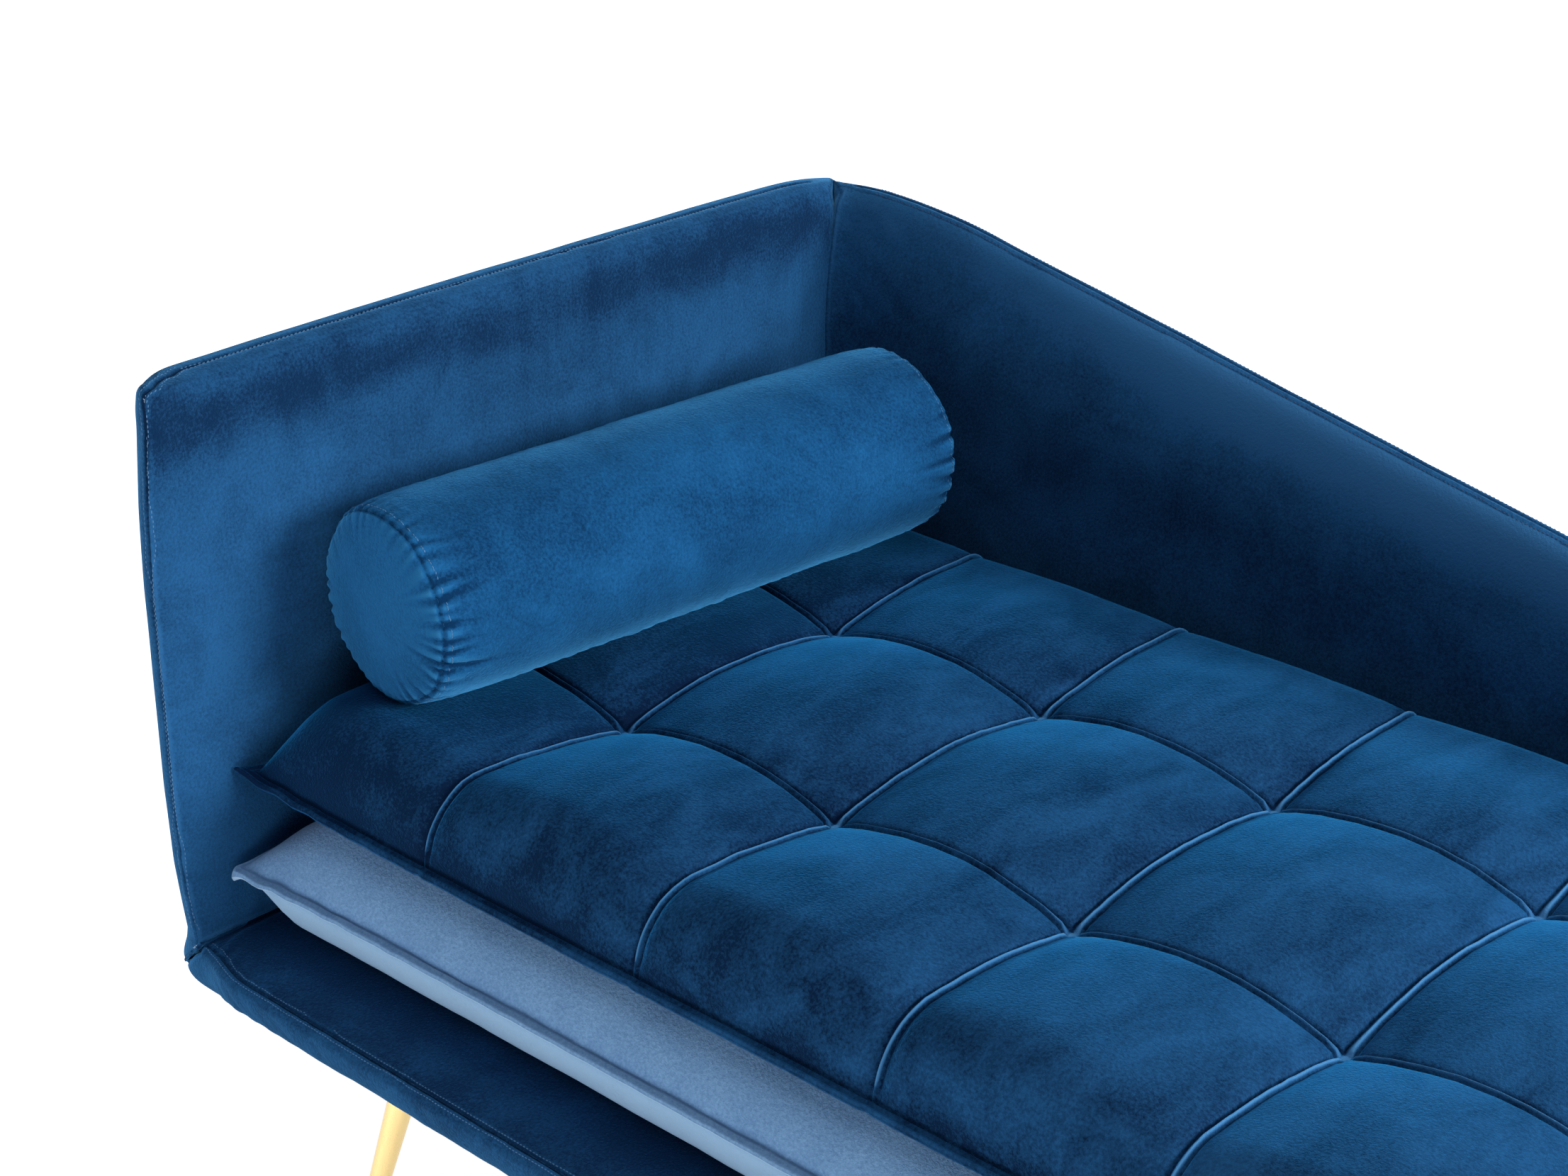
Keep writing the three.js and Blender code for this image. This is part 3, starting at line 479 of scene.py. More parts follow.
def clouds(tree, place, scale, detail, roughness=0.5, distortion=0.0):
    return add_node(tree, "TexNoise", {"Vector": place, "Scale": scale, "Detail": detail,
                                       "Roughness": roughness, "Distortion": distortion}, "Fac")


def span(tree, value, low, high, start=0.0, end=1.0):
    """Carries the values from start to end onto those from low to high."""
    return add_node(tree, "MapRange", {"Value": value, "From Min": start, "From Max": end,
                                       "To Min": low, "To Max": high})


def blend(tree, factor, first, second):
    """Mixes two colours, each given as three numbers or as an output."""
    ends = [c if isinstance(c, bpy.types.NodeSocket) else (*c, 1) for c in (first, second)]
    return add_node(tree, "Mix", {"Factor": factor, 6: ends[0], 7: ends[1]}, 2, data_type="RGBA")


def relief(tree, height, strength, distance, **more):
    return add_node(tree, "Bump", {"Height": height, "Strength": strength, "Distance": distance, **more})


def velvet(name, deep, bright, painted_highlight, sheen, tint, nap=(1, 1, 1), streaks=14.0, contrast=0.5):
    """Short-nap velvet: brushed streaks, a fine grain, a sheen at the turned faces, and painted light and
    shade from a point attribute, with a painted highlight colour.
    """
    material, tree, shader = new_material(name)
    fine = placed(tree)
    brushed = clouds(tree, placed(tree, nap), streaks, 5.0, 0.62, 0.5)
    grain = clouds(tree, fine, 430.0, 3.0, 0.7)
    patches = span(tree, brushed, 0.5 - contrast / 2, 0.5 + contrast / 2, 0.34, 0.68)
    speckle = span(tree, grain, -0.34, 0.34, 0.3, 0.7)
    # The painted light and shade in the point attribute shift the colour between its dark and light ends, and
    # its highest values blend in the painted highlight colour.
    painted_shading = add_node(tree, "Attribute", output="Fac", attribute_name="painted_shading")
    patches_and_painted_shading = add_node(tree, "Math", {0: painted_shading, 1: 0.6, 2: patches}, operation="MULTIPLY_ADD")
    mixed = add_node(tree, "Math", {0: patches_and_painted_shading, 1: speckle}, operation="ADD", use_clamp=True)
    colour = blend(tree, mixed, deep, bright)
    with_painted_highlight = blend(tree, span(tree, painted_shading, 0.0, 0.75, 0.5, 1.5), colour, painted_highlight)
    low = relief(tree, grain, 0.7, 0.0011)
    high = relief(tree, clouds(tree, fine, 1500.0, 1.0), 0.4, 0.0004, Normal=low)
    set_inputs(tree, shader, {
        "Base Color": with_painted_highlight, "Normal": high, "Roughness": 0.85, "Specular IOR Level": 0.06,
        "Sheen Weight": sheen, "Sheen Roughness": 0.38, "Sheen Tint": (*tint, 1),
    })
    return material


def plain_finish(name, dark, light, roughness, metallic=0.0, scale=40.0, stretch=(1, 1, 1), bump=0.1,
                 depth=0.0003):
    """A finish with a soft variation of colour and a matching relief."""
    material, tree, shader = new_material(name)
    cloud = clouds(tree, placed(tree, stretch), scale, 6.0, 0.6)
    set_inputs(tree, shader, {
        "Base Color": blend(tree, cloud, dark, light), "Metallic": metallic,
        "Roughness": span(tree, cloud, roughness - 0.06, roughness + 0.06),
        "Normal": relief(tree, cloud, bump, depth),
    })
    return material


# Each velvet's third colour is its painted highlight, blended in where the painted light is strongest.
navy = velvet("navy velvet", (0.0025, 0.02, 0.066), (0.016, 0.1, 0.255), (0.04, 0.16, 0.36), 0.9,
              (0.12, 0.47, 0.97))
# A darker copy of the navy velvet for the upper mattress: painted shade, with its own brushed streaks.
navy_top_shaded = velvet("navy velvet, brushed, painted darker", (0.0006, 0.009, 0.036), (0.012, 0.075, 0.2), (0.08, 0.27, 0.55),
                  0.7, (0.03, 0.4, 0.97), nap=(1.0, 0.45, 1.0), streaks=24.0, contrast=0.66)
pale = velvet("light blue velvet", (0.11, 0.235, 0.45), (0.23, 0.42, 0.68), (0.44, 0.62, 0.78), 0.3,
              (0.65, 0.85, 1.0), contrast=0.3)
bright = velvet("bright blue velvet", (0.0015, 0.028, 0.09), (0.01, 0.105, 0.28), (0.03, 0.2, 0.42), 0.75,
                (0.1, 0.5, 1.0), streaks=11.0, contrast=0.6)
thread_blue = plain_finish("light blue thread", (0.04, 0.13, 0.28), (0.09, 0.23, 0.42), 0.7, scale=900.0)
thread_dark = plain_finish("dark blue thread", (0.004, 0.02, 0.07), (0.01, 0.04, 0.12), 0.7, scale=900.0)
thread_pale = plain_finish("pale thread", (0.3, 0.42, 0.6), (0.45, 0.56, 0.7), 0.7, scale=900.0)
gold = plain_finish("satin gold", (0.78, 0.58, 0.26), (0.86, 0.66, 0.32), 0.28, metallic=1.0,
                    scale=220.0, stretch=(1, 1, 0.05), bump=0.04)
steel = plain_finish("zinc steel", (0.5, 0.51, 0.53), (0.68, 0.69, 0.71), 0.38, metallic=1.0, scale=160.0)
pine = plain_finish("pine", (0.46, 0.29, 0.13), (0.68, 0.47, 0.25), 0.65, scale=26.0,
                    stretch=(0.12, 1, 1), bump=0.25)
plywood = plain_finish("plywood", (0.42, 0.27, 0.13), (0.6, 0.42, 0.23), 0.65, scale=30.0,
                       stretch=(0.15, 1, 1), bump=0.2)
foam = plain_finish("foam", (0.62, 0.56, 0.34), (0.8, 0.74, 0.5), 0.95, scale=500.0, bump=0.6, depth=0.001)
black_cloth = plain_finish("black cloth", (0.006, 0.006, 0.006), (0.022, 0.022, 0.022), 0.95,
                           scale=700.0, bump=0.5, depth=0.0005)
black_plastic = plain_finish("black plastic", (0.012, 0.012, 0.012), (0.02, 0.02, 0.02), 0.45,
                             scale=300.0, bump=0.15)

SLOT_MATERIALS = {
    "navy_velvet": navy, "light_blue_velvet": pale, "bright_blue_velvet": bright, "satin_gold": gold,
    "zinc_steel": steel, "pine": pine, "plywood": plywood, "foam": foam, "black_cloth": black_cloth,
    "black_plastic": black_plastic,
}


def finish_nodes():
    """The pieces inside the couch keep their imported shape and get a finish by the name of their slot."""
    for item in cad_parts.values():
        for slot in item.material_slots:
            base = slot.material.name.split(".")[0] if slot.material else ""
            slot.material = SLOT_MATERIALS.get(base, black_plastic)


finish_nodes()


# Shell

def stand_back(p):
    """Sets the front back beside the head end's corner, where the padding is drawn in."""
    amount = np.interp(p[:, 2] - UNDER, SETBACK_HEIGHTS, SETBACKS)
    near = smooth_step((HEAD_IN + 60 - p[:, 0]) / 60)
    p[:, 1] += amount * near * np.clip(1 - (p[:, 1] - FRONT_OUT) / 90, 0, 1)
    return p


def shell_rounding(p):
    """The outer edges that the head panel and the platform share at the head end."""
    round_edge(p, FRONT_FACE, UNDER_FACE, NOSE_BOTTOM)
    behind = smooth_step((p[:, 1] - FRONT_OUT - 7) / 24)
    round_changing(p, HEAD_FACE, UNDER_FACE, HEAD_BOTTOM_FRONT, HEAD_BOTTOM, behind)
    low = smooth_step((UNDER + 40 - p[:, 2]) / 24)
    round_changing(p, HEAD_FACE, FRONT_FACE, NOSE, NOSE_LOW, low)
    stand_back(p)


def on_form(form, *runs):
    """Points along straight runs of a sharp box, carried onto its shape. A run has two ends and a count."""
    return form(np.vstack([np.linspace(*run) for run in runs]))


def padded_box(name, form, *cuts):
    piece = cut_block(name, *cuts)
    set_points(piece, form(points(piece)))
    finish_mesh(piece)
    return piece


HEAD_SEAM = HEAD_IN - 3
TOP_SEAM = HEAD_IN - 20
MITRE_START = BACK_IN - 50


def head_form(q):
    """Carries points of the head panel's sharp box onto its padded shape."""
    p = np.array(q, float)
    x, y, z = p.T
    over_top = smooth_step((z - (TOP - 45)) / 45) * smooth_step((y - FRONT_OUT - 8) / 20)
    shift = (TOP_SEAM - HEAD_SEAM) * over_top
    low_part = HEAD_OUT + (x - HEAD_OUT) * (HEAD_SEAM + shift - HEAD_OUT) / (HEAD_SEAM - HEAD_OUT)
    high_part = HEAD_IN - (HEAD_IN - x) * (HEAD_IN - HEAD_SEAM - shift) / (HEAD_IN - HEAD_SEAM)
    p[:, 0] = np.where(x <= HEAD_SEAM, low_part, high_part)
    end = BACK_OUT - (p[:, 0] - HEAD_OUT) * (BACK_OUT - BACK_IN) / (HEAD_IN - HEAD_OUT) + 0.8
    share = np.clip((y - MITRE_START) / (BACK_OUT - MITRE_START), 0, 1)
    p[:, 1] = y + share * (end - BACK_OUT)
    slant = (z - UNDER) / (SEAT - UNDER) * (HEAD_IN - HEAD_OUT)
    width = np.where(y < BAND_BACK, np.maximum(slant, 0.6), HEAD_STEP - HEAD_OUT)
    lower = z <= SEAT + 0.01
    p[lower, 0] = (HEAD_OUT + (p[:, 0] - HEAD_OUT) * width / (HEAD_IN - HEAD_OUT))[lower]
    along = (y - FRONT_OUT) / (BACK_OUT - FRONT_OUT)
    inner_side = smooth_step((p[:, 0] - HEAD_OUT - 8) / 26)
    round_changing(p, FRONT_FACE, TOP_FACE, HEAD_TOP_FRONT, HEAD_TOP_CORNER, inner_side)
    round_edge(p, BACK_FACE, UNDER_FACE, OUTER_CORNER)
    round_edge(p, HEAD_FACE, TOP_FACE, HEAD_TOP_OUTER)
    before = 1 - smooth_step((p[:, 1] - FRONT_OUT - 10) / 60)
    round_changing(p, HEAD_INSIDE, TOP_FACE, TOP_INNER, TOP_INNER_FRONT, before)
    shell_rounding(p)
    upper = p[:, 2] > SEAT
    inner = p[upper]
    round_edge(inner, HEAD_INSIDE, FRONT_FACE, SEAM_CORNER)
    p[upper] = inner
    round_edge(p, HEAD_FACE, BACK_FACE, OUTER_CORNER)
    crest = smooth_step((p[:, 2] - (TOP - 90)) / 90)
    p[:, 2] += crest * (3 * arch(along) - 8.5 * bump_at(along, 1, 0.06))
    return p


def build_head_panel():
    piece = padded_box("head_panel", head_form, spaced(HEAD_OUT, HEAD_IN, 4.5, [HEAD_SEAM]),
                       spaced(FRONT_OUT, BACK_OUT, 9, [FRONT_OUT, BACK_OUT], END_CUTS),
                       spaced(UNDER, TOP, 9, [SEAT, TOP], HEIGHT_CUTS))
    p = points(piece)
    n = normals(piece)
    inner = smooth_step((n[:, 0] - 0.6) / 0.3) * smooth_step((p[:, 2] - SEAT - 90) / 120)
    outer = smooth_step((-n[:, 0] - 0.6) / 0.3)
    across = arch((p[:, 1] - FRONT_OUT) / (BACK_IN - FRONT_OUT))
    up = arch((p[:, 2] - SEAT) / (TOP - SEAT))
    rough = 0.7 - 0.35 * (n[:, 0] > 0.6)
    swell(piece, (0.7 * inner + 0.5 * outer) * across * up + rough * unevenness(p, 70, 1))
    seam = on_form(head_form, ((HEAD_SEAM, FRONT_OUT, SEAT), (HEAD_SEAM, FRONT_OUT, TOP - 1), 60),
                   ((HEAD_SEAM, FRONT_OUT, TOP), (HEAD_SEAM, BACK_IN + 6, TOP), 120))
    mitre = on_form(head_form, ((HEAD_IN, BACK_OUT, SEAT), (HEAD_IN, BACK_OUT, TOP), 80),
                    ((HEAD_IN, BACK_OUT, TOP), (HEAD_OUT, BACK_OUT, TOP), 30),
                    ((HEAD_OUT, BACK_OUT, TOP), (HEAD_OUT, BACK_OUT, UNDER), 80))
    crease = on_form(head_form, ((HEAD_IN, FRONT_OUT, SEAT + 0.4), (HEAD_IN, BACK_IN, SEAT + 0.4), 90))
    low_mitre = on_form(head_form, ((HEAD_IN, FRONT_OUT, UNDER), (HEAD_IN, FRONT_OUT, SEAT), 20))
    sew(piece, seam, depth=2.6, width=1.8, pucker=0.9, reach=8, seed=2)
    sew(piece, mitre, depth=0.9, width=1.8, pucker=0.6, reach=10, seed=3)
    sew(piece, crease, depth=1.5, width=2.0, pucker=0.4, reach=8, seed=4)
    sew(piece, low_mitre, depth=1.6, width=1.6, pucker=0.4, reach=6, seed=5)
    p = points(piece)
    # Painted shade in a band under the top edge and along the top's front, and painted light on the inner
    # face further down.
    below = TOP - p[:, 2]
    facing_in = p[:, 0] > HEAD_SEAM - 2
    painted_shade_top_front = fade(p[:, 1] - FRONT_OUT, 18) * (p[:, 2] > TOP - 120)
    painted_shading = 0.3 * smooth_step((below - 40) / 60) - 0.75 * bump_at(below, 30, 26) - 0.35 * painted_shade_top_front
    paint_light_and_shade(piece, painted_shading * facing_in)
    folds = [((HEAD_SEAM - 2, FRONT_OUT + 8, TOP - 31 - 9 * i), (HEAD_IN, FRONT_OUT + 22, TOP - 34 - 9 * i),
              0.9, 2.2) for i in range(4)]
    folds += [((HEAD_IN, -300 + 36 * i, SEAT + 1), (HEAD_IN, -293 + 36 * i, SEAT + 34), 0.7, 5)
              for i in range(16)]
    press_folds(piece, folds)
    return claim(piece, "frame", "navy_velvet", navy, "head_panel_cover", fill=0.7), seam


SHOULDER = HEAD_IN + 12
SHOULDER_BEND = 146
SLOPE_START = SHOULDER + SHOULDER_BEND
FOOT_TOP = SEAT + 107
SLOPE = (TOP - FOOT_TOP) / (SHOULDER_BEND / 2 + FOOT_OUT - SLOPE_START)
SLOPE_TOP = TOP - SLOPE * SHOULDER_BEND / 2


def back_top(x):
    """Height of the back panel's top: level over the shoulder, then a slope down to the foot."""
    t = np.clip((x - SHOULDER) / SHOULDER_BEND, 0, 1)
    bend = TOP - (TOP - SLOPE_TOP) * t * t
    return np.where(x < SLOPE_START, bend, SLOPE_TOP - SLOPE * (x - SLOPE_START))


BACK_ROUNDINGS = (
    (BACK_INSIDE, TOP_FACE, TOP_INNER), (BACK_FACE, TOP_FACE, BACK_TOP_OUTER),
    (BACK_FACE, UNDER_FACE, OUTER_CORNER), (FOOT_FACE, TOP_FACE, BACK_END),
    (FOOT_FACE, UNDER_FACE, FOOT_BOTTOM), (HEAD_FACE, UNDER_FACE, HEAD_BOTTOM),
    (HEAD_FACE, BACK_FACE, OUTER_CORNER), (FOOT_FACE, BACK_FACE, SEAM_CORNER),
    (FOOT_FACE, BACK_INSIDE, BACK_END_INNER),
)


def back_form(q):
    """Carries points of the back panel's sharp box onto its sloping padded shape."""
    p = np.array(q, float)
    x, y, z = p.T
    start = HEAD_OUT + (BACK_OUT - y) * (HEAD_IN - HEAD_OUT) / (BACK_OUT - BACK_IN) - 0.8
    share = np.clip((HEAD_IN + 60 - x) / (HEAD_IN + 60 - HEAD_OUT), 0, 1)
    p[:, 0] = x + share * (start - HEAD_OUT)
    for edge in BACK_ROUNDINGS:
        round_edge(p, *edge)
    soft = np.clip((z - (TOP - 125)) / 125, 0, 1) ** 2 * np.clip((BACK_IN + 24 - y) / 24, 0, 1)
    p[:, 1] += 11 * soft
    fillet = np.clip(1 - (x - HEAD_IN) / 24, 0, 1) ** 2 * np.clip((BACK_IN + 20 - y) / 20, 0, 1)
    p[:, 1] -= 10 * fillet * smooth_step((z - SEAT) / 60)
    top = back_top(x) - 3 - 4 * bump_at(x, HEAD_OUT + 20, 40)
    zone = 85
    lower = SEAT + (z - SEAT) * (top - zone - SEAT) / (TOP - zone - SEAT)
    p[:, 2] = np.where(z > TOP - zone, z + top - TOP, np.where(z > SEAT, lower, z))
    return p


BACK_SEAM = BACK_IN + 14


def build_back_panel():
    piece = padded_box("back_panel", back_form,
                       spaced(HEAD_OUT, FOOT_OUT, 13.5, [HEAD_OUT, FOOT_OUT], END_CUTS),
                       spaced(BACK_IN, BACK_OUT, 4.5, [BACK_SEAM]),
                       spaced(UNDER, TOP, 9, [SEAT, TOP], HEIGHT_CUTS))
    p = points(piece)
    n = normals(piece)
    inner = smooth_step((-n[:, 1] - 0.6) / 0.3) * smooth_step((p[:, 2] - SEAT - 60) / 120)
    outer = smooth_step((n[:, 1] - 0.6) / 0.3)
    across = arch((p[:, 0] - HEAD_IN) / (FOOT_OUT - HEAD_IN)) ** 0.6
    up = arch((p[:, 2] - SEAT) / (back_top(p[:, 0]) - SEAT))
    swell(piece, (2.5 * inner + 2.0 * outer) * across * up + 0.7 * unevenness(p, 75, 6))
    seam = on_form(back_form, ((HEAD_IN - 10, BACK_SEAM, TOP), (FOOT_OUT, BACK_SEAM, TOP), 300),
                   ((FOOT_OUT, BACK_SEAM, TOP), (FOOT_OUT, BACK_SEAM, UNDER + 30), 60))
    mitre = on_form(back_form, ((HEAD_OUT, BACK_IN, SEAT), (HEAD_OUT, BACK_IN, TOP), 80),
                    ((HEAD_OUT, BACK_IN, TOP), (HEAD_OUT, BACK_OUT, TOP), 30),
                    ((HEAD_OUT, BACK_OUT, TOP), (HEAD_OUT, BACK_OUT, UNDER), 80))
    sew(piece, seam, depth=1.3, width=1.6, pucker=0.2, reach=8, seed=7)
    sew(piece, mitre, depth=0.9, width=1.8, pucker=1.3, reach=14, seed=8)
    press_folds(piece, [((-748, BACK_IN, 634), (-770, BACK_IN, 652), 1.6, 3.5),
                        ((-762, BACK_IN, 604), (-786, BACK_IN, 628), 1.2, 3.5),
                        ((-770, BACK_IN, 566), (-792, BACK_IN, 590), 0.9, 4),
                        ((-720, BACK_IN, 560), (-760, BACK_IN, 600), 0.8, 7)])
    p = points(piece)
    # Painted light along the top edge, stronger towards the foot, and painted shade further down the inner
    # face.
    below = back_top(p[:, 0]) - p[:, 2]
    painted_light_top = (0.7 + 0.9 * smooth_step((p[:, 0] + 780) / 400)) * bump_at(below, 0, 60)
    paint_light_and_shade(piece, (painted_light_top - 0.25 * smooth_step((below - 80) / 60)) * (p[:, 1] < BACK_SEAM))
    return claim(piece, "frame", "navy_velvet", navy, "back_panel_cover", fill=0.7), seam


SEAM_INSET = 9
SKIN_THICKNESS = 2.2
PLATFORM_SEAM = FRONT_OUT + SEAM_INSET
TOP_DROP = 4


def drop_at_edge(p):
    """The platform's top falls a little towards the seams at its front and foot."""
    front = fade(np.clip(p[:, 1] - FRONT_OUT, 0, None), 22)
    foot = fade(np.clip(FOOT_OUT - p[:, 0], 0, None), 22)
    high = p[:, 2] > (UNDER + SEAT) / 2
    p[high, 2] -= (TOP_DROP * np.maximum(front, foot))[high]
    return p


def band_form(q):
    """Carries points of the platform's sharp box onto its rounded edges."""
    p = np.array(q, float)
    round_edge(p, FRONT_FACE, SEAT_FACE, PLATFORM_EDGE)
    round_edge(p, FOOT_FACE, SEAT_FACE, PLATFORM_EDGE)
    round_edge(p, FOOT_FACE, UNDER_FACE, FOOT_BOTTOM)
    shell_rounding(p)
    round_edge(p, FOOT_FACE, FRONT_FACE, FOOT_CORNER)
    return drop_at_edge(p)


def cut_skin(name, xs, ys, face):
    """A box cut open to the skin on one face, on the underside and on the strip up to the seam."""
    piece = cut_block(name, xs, ys, spaced(UNDER, SEAT, 4, [SEAT], BAND_CUTS))
    c = face_centres(piece)
    depth = np.abs(c[:, face[0]] - face[1])
    over = (c[:, 2] > SEAT - 0.01) & (depth < SEAM_INSET)
    keep_faces(piece, (depth < 0.01) | (c[:, 2] < UNDER + 0.01) | over)
    return piece


def finish_skin(piece, p, face, seed):
    """Gives a skin its rounded form and thickness, and makes its outer face uneven."""
    set_points(piece, band_form(p))
    finish_mesh(piece, thickness=SKIN_THICKNESS)
    p = points(piece)
    outer = smooth_step((normals(piece)[:, face[0]] * face[2] - 0.3) / 0.4)
    swell(piece, outer * (0.8 * unevenness(p, 28, seed) + 0.9 * unevenness(p, 70, seed + 1)))


def build_front_band():
    piece = cut_skin("platform_front_skin", spaced(HEAD_OUT, FOOT_OUT, 11, [HEAD_OUT, FOOT_OUT], END_CUTS),
                     spaced(FRONT_OUT, BAND_BACK, 4, [PLATFORM_SEAM], BAND_CUTS), FRONT_FACE)
    p = points(piece)
    x, y, z = p.T.copy()
    head_end = np.where(y > FRONT_OUT + 0.01, np.where(z > SEAT - 0.01, HEAD_IN, HEAD_OUT),
                        HEAD_OUT + (z - UNDER) / (SEAT - UNDER) * (HEAD_IN - HEAD_OUT))
    p[:, 0] += (head_end - HEAD_OUT) * np.clip((HEAD_IN + 75 - x) / (HEAD_IN + 75 - HEAD_OUT), 0, 1)
    p[:, 0] += (FRONT_OUT - y) * np.clip((x - BAND_FOOT + 60) / (FOOT_OUT - BAND_FOOT + 60), 0, 1)
    finish_skin(piece, p, FRONT_FACE, 9)
    mitre = on_form(band_form, ((HEAD_OUT, FRONT_OUT, UNDER), (HEAD_IN, FRONT_OUT, SEAT), 30))
    seam = on_form(band_form, ((HEAD_IN, PLATFORM_SEAM, SEAT),
                               (FOOT_OUT - SEAM_INSET, PLATFORM_SEAM, SEAT), 300))
    sew(piece, mitre, depth=1.6, width=1.8, pucker=0.7, reach=9, seed=11)
    sew(piece, seam, depth=1.1, width=1.3, pucker=0.8, reach=8, seed=12)
    folds = [((HEAD_OUT + 30 + 17 * i, FRONT_OUT, SEAT - 4), (HEAD_OUT + 62 + 21 * i, FRONT_OUT, UNDER + 10),
              1.5 - 0.12 * i, 4.0) for i in range(7)]
    folds += [((HEAD_OUT + 190 + 113 * i, FRONT_OUT, SEAT - 5),
               (HEAD_OUT + 206 + 113 * i, FRONT_OUT, SEAT - 24), 0.8, 5.0) for i in range(13)]
    press_folds(piece, folds)
    return claim(piece, "frame", "navy_velvet", navy, "platform_front_band", fill=0.6), seam


def build_foot_band():
    piece = cut_skin("platform_foot_skin", spaced(BAND_FOOT, FOOT_OUT, 4, [FOOT_OUT - SEAM_INSET], BAND_CUTS),
                     spaced(FRONT_OUT, BACK_IN - 0.3, 11, [FRONT_OUT], END_CUTS), FOOT_FACE)
    p = points(piece)
    x, y = p.T[:2].copy()
    p[:, 1] += (FOOT_OUT - x) * np.clip((BAND_BACK + 60 - y) / (BAND_BACK + 60 - FRONT_OUT), 0, 1)
    finish_skin(piece, p, FOOT_FACE, 13)
    seam = on_form(band_form, ((FOOT_OUT - SEAM_INSET, PLATFORM_SEAM, SEAT),
                               (FOOT_OUT - SEAM_INSET, BACK_IN, SEAT), 140))
    sew(piece, seam, depth=1.1, width=1.3, pucker=0.8, reach=8, seed=15)
    return claim(piece, "frame", "navy_velvet", navy, "platform_foot_band", fill=0.6), seam


def build_platform_top():
    xs = spaced(top_low[0], top_high[0], 12, [top_low[0], top_high[0]], END_CUTS[:8])
    ys = spaced(top_low[1], top_high[1], 12, [top_low[1]], (0.6, 1.4, 2.4, 4, 6.5, 10, 15, 21, 28))
    piece = cut_block("platform_top", xs, ys, [top_low[2], SEAT])
    p = points(piece)
    corner = FOOT_CORNER[0] - SEAM_INSET
    round_edge(p, (0, top_high[0], 1), (1, top_low[1], -1), (corner, corner))
    set_points(piece, stand_back(drop_at_edge(p)))
    finish_mesh(piece)
    on_top = smooth_step((normals(piece)[:, 2] - 0.5) / 0.4)
    swell(piece, on_top * 0.5 * unevenness(points(piece), 60, 16))
    seam = np.linspace((HEAD_IN, top_low[1] + 1, SEAT), (top_high[0], top_low[1] + 1, SEAT), 300)
    crease = np.linspace((HEAD_IN, PLATFORM_SEAM, SEAT), (HEAD_IN, BACK_IN, SEAT), 140)
    sew(piece, stand_back(drop_at_edge(seam)), depth=0.7, width=1.4, pucker=0.9, reach=9, seed=17)
    sew(piece, crease, depth=1.6, width=2.5, pucker=0.4, reach=9, seed=18)
    press_folds(piece, [((HEAD_IN + 12 + 16 * i, FRONT_OUT + 12, SEAT),
                         (HEAD_IN + 2 + 10 * i, FRONT_OUT + 46, SEAT), 1.1, 3.5) for i in range(6)])
    # Painted shade over the whole platform top.
    paint_light_and_shade(piece, -0.6)
    return claim(piece, "frame", "navy_velvet", navy, "platform_top_cover", fill=0.5)


head_panel, head_seam = build_head_panel()
back_panel, back_seam = build_back_panel()
front_band, front_seam = build_front_band()
foot_band, foot_seam = build_foot_band()
platform_top = build_platform_top()


# Mattresses

UPPER_FLANGE = 9
UPPER_FLANGE_THICKNESS = 4.6
UPPER_THICKNESS = 41
LENGTHWISE_ARCH = 19
CROSSWISE_ARCH = 14
PANEL_BLEND = 4
END_COLUMN = 188.5
END_ROW = 201.7
FREE_ROUNDING = 52
PRESSED_ROUNDING = 32
UPPER_DRAW_IN = 5
upper_low, upper_high = node_box("upper_mattress")
COLUMN = (upper_high[0] - upper_low[0] - 2 * END_COLUMN) / 6
ROW = upper_high[1] - upper_low[1] - 2 * END_ROW
UPPER_X = [upper_low[0] + END_COLUMN + i * COLUMN for i in range(7)]
UPPER_Y = [upper_low[1] + END_ROW, upper_low[1] + END_ROW + ROW]
TUCK_CUTS = (0.45, 0.9, 1.4, 2.0, 2.6, 3.3, 4.3, 6, 9, 14)
UPPER_RIM = (0.4, 1, 1.8, 2.7, 3.6, 4.6, 5.6, 6.6, 7.6, 8.4, 9, 9.2, 9.5, 9.9, 10.5, 11.3, 12.4, 14, 16, 18.5,
             21.5, 25, 29, 34, 40, 46)


def edge_share(distance, rounding, power=2.0):
    """0 at a soft edge and 1 past its rounding: a circle at power 2, and flatter below that."""
    rest = 1 - np.clip(distance / rounding, 0, 1)
    return (1 - rest**power) ** (1 / power)


def flange_swell(distance, width, thickness):
    """Half thickness of a sewn flange at a distance from its edge: two ridges with a groove between."""
    d = np.clip(distance, 0, width)
    ridges = 0.5 + 0.5 * np.cos(2 * np.pi * (d / width - 0.22) / 0.56)
    return thickness / 2 * edge_share(d, 1.2) * (0.5 + 0.65 * ridges)


def rim_cuts(lines, low, high, rim, clear):
    """Places of the cuts across a cushion, close together at its rim."""
    inner = [v for v in lines if low + clear < v < high - clear]
    return sorted({*inner, *[low + d for d in (0, *rim)], *[high - d for d in (0, *rim)]})


def even_sides(lines, at):
    """Adds a cut where one is needed for an even count of strips."""
    if len(lines) % 2 == 0:
        lines.insert(at, (lines[at - 1] + lines[at]) / 2)
    return lines


def three_levels(side, bottom, middle, top):
    """Heights of a block cut in two: its top, its underside, and its rim between them."""
    return np.where(side > 1.5, top, np.where(side < 0.5, bottom, middle))


def draw_in(p, x, y, low, high, amount):
    """Draws the front and the foot edge in between the corners."""
    length, depth = high[0] - low[0], high[1] - low[1]
    p[:, 1] += amount * arch((x - low[0]) / length) ** 0.8 * np.clip(1 - 2 * (y - low[1]) / depth, 0, 1)
    p[:, 0] -= amount * arch((y - low[1]) / depth) ** 0.8 * np.clip(2 * (x - low[0]) / length - 1, 0, 1)


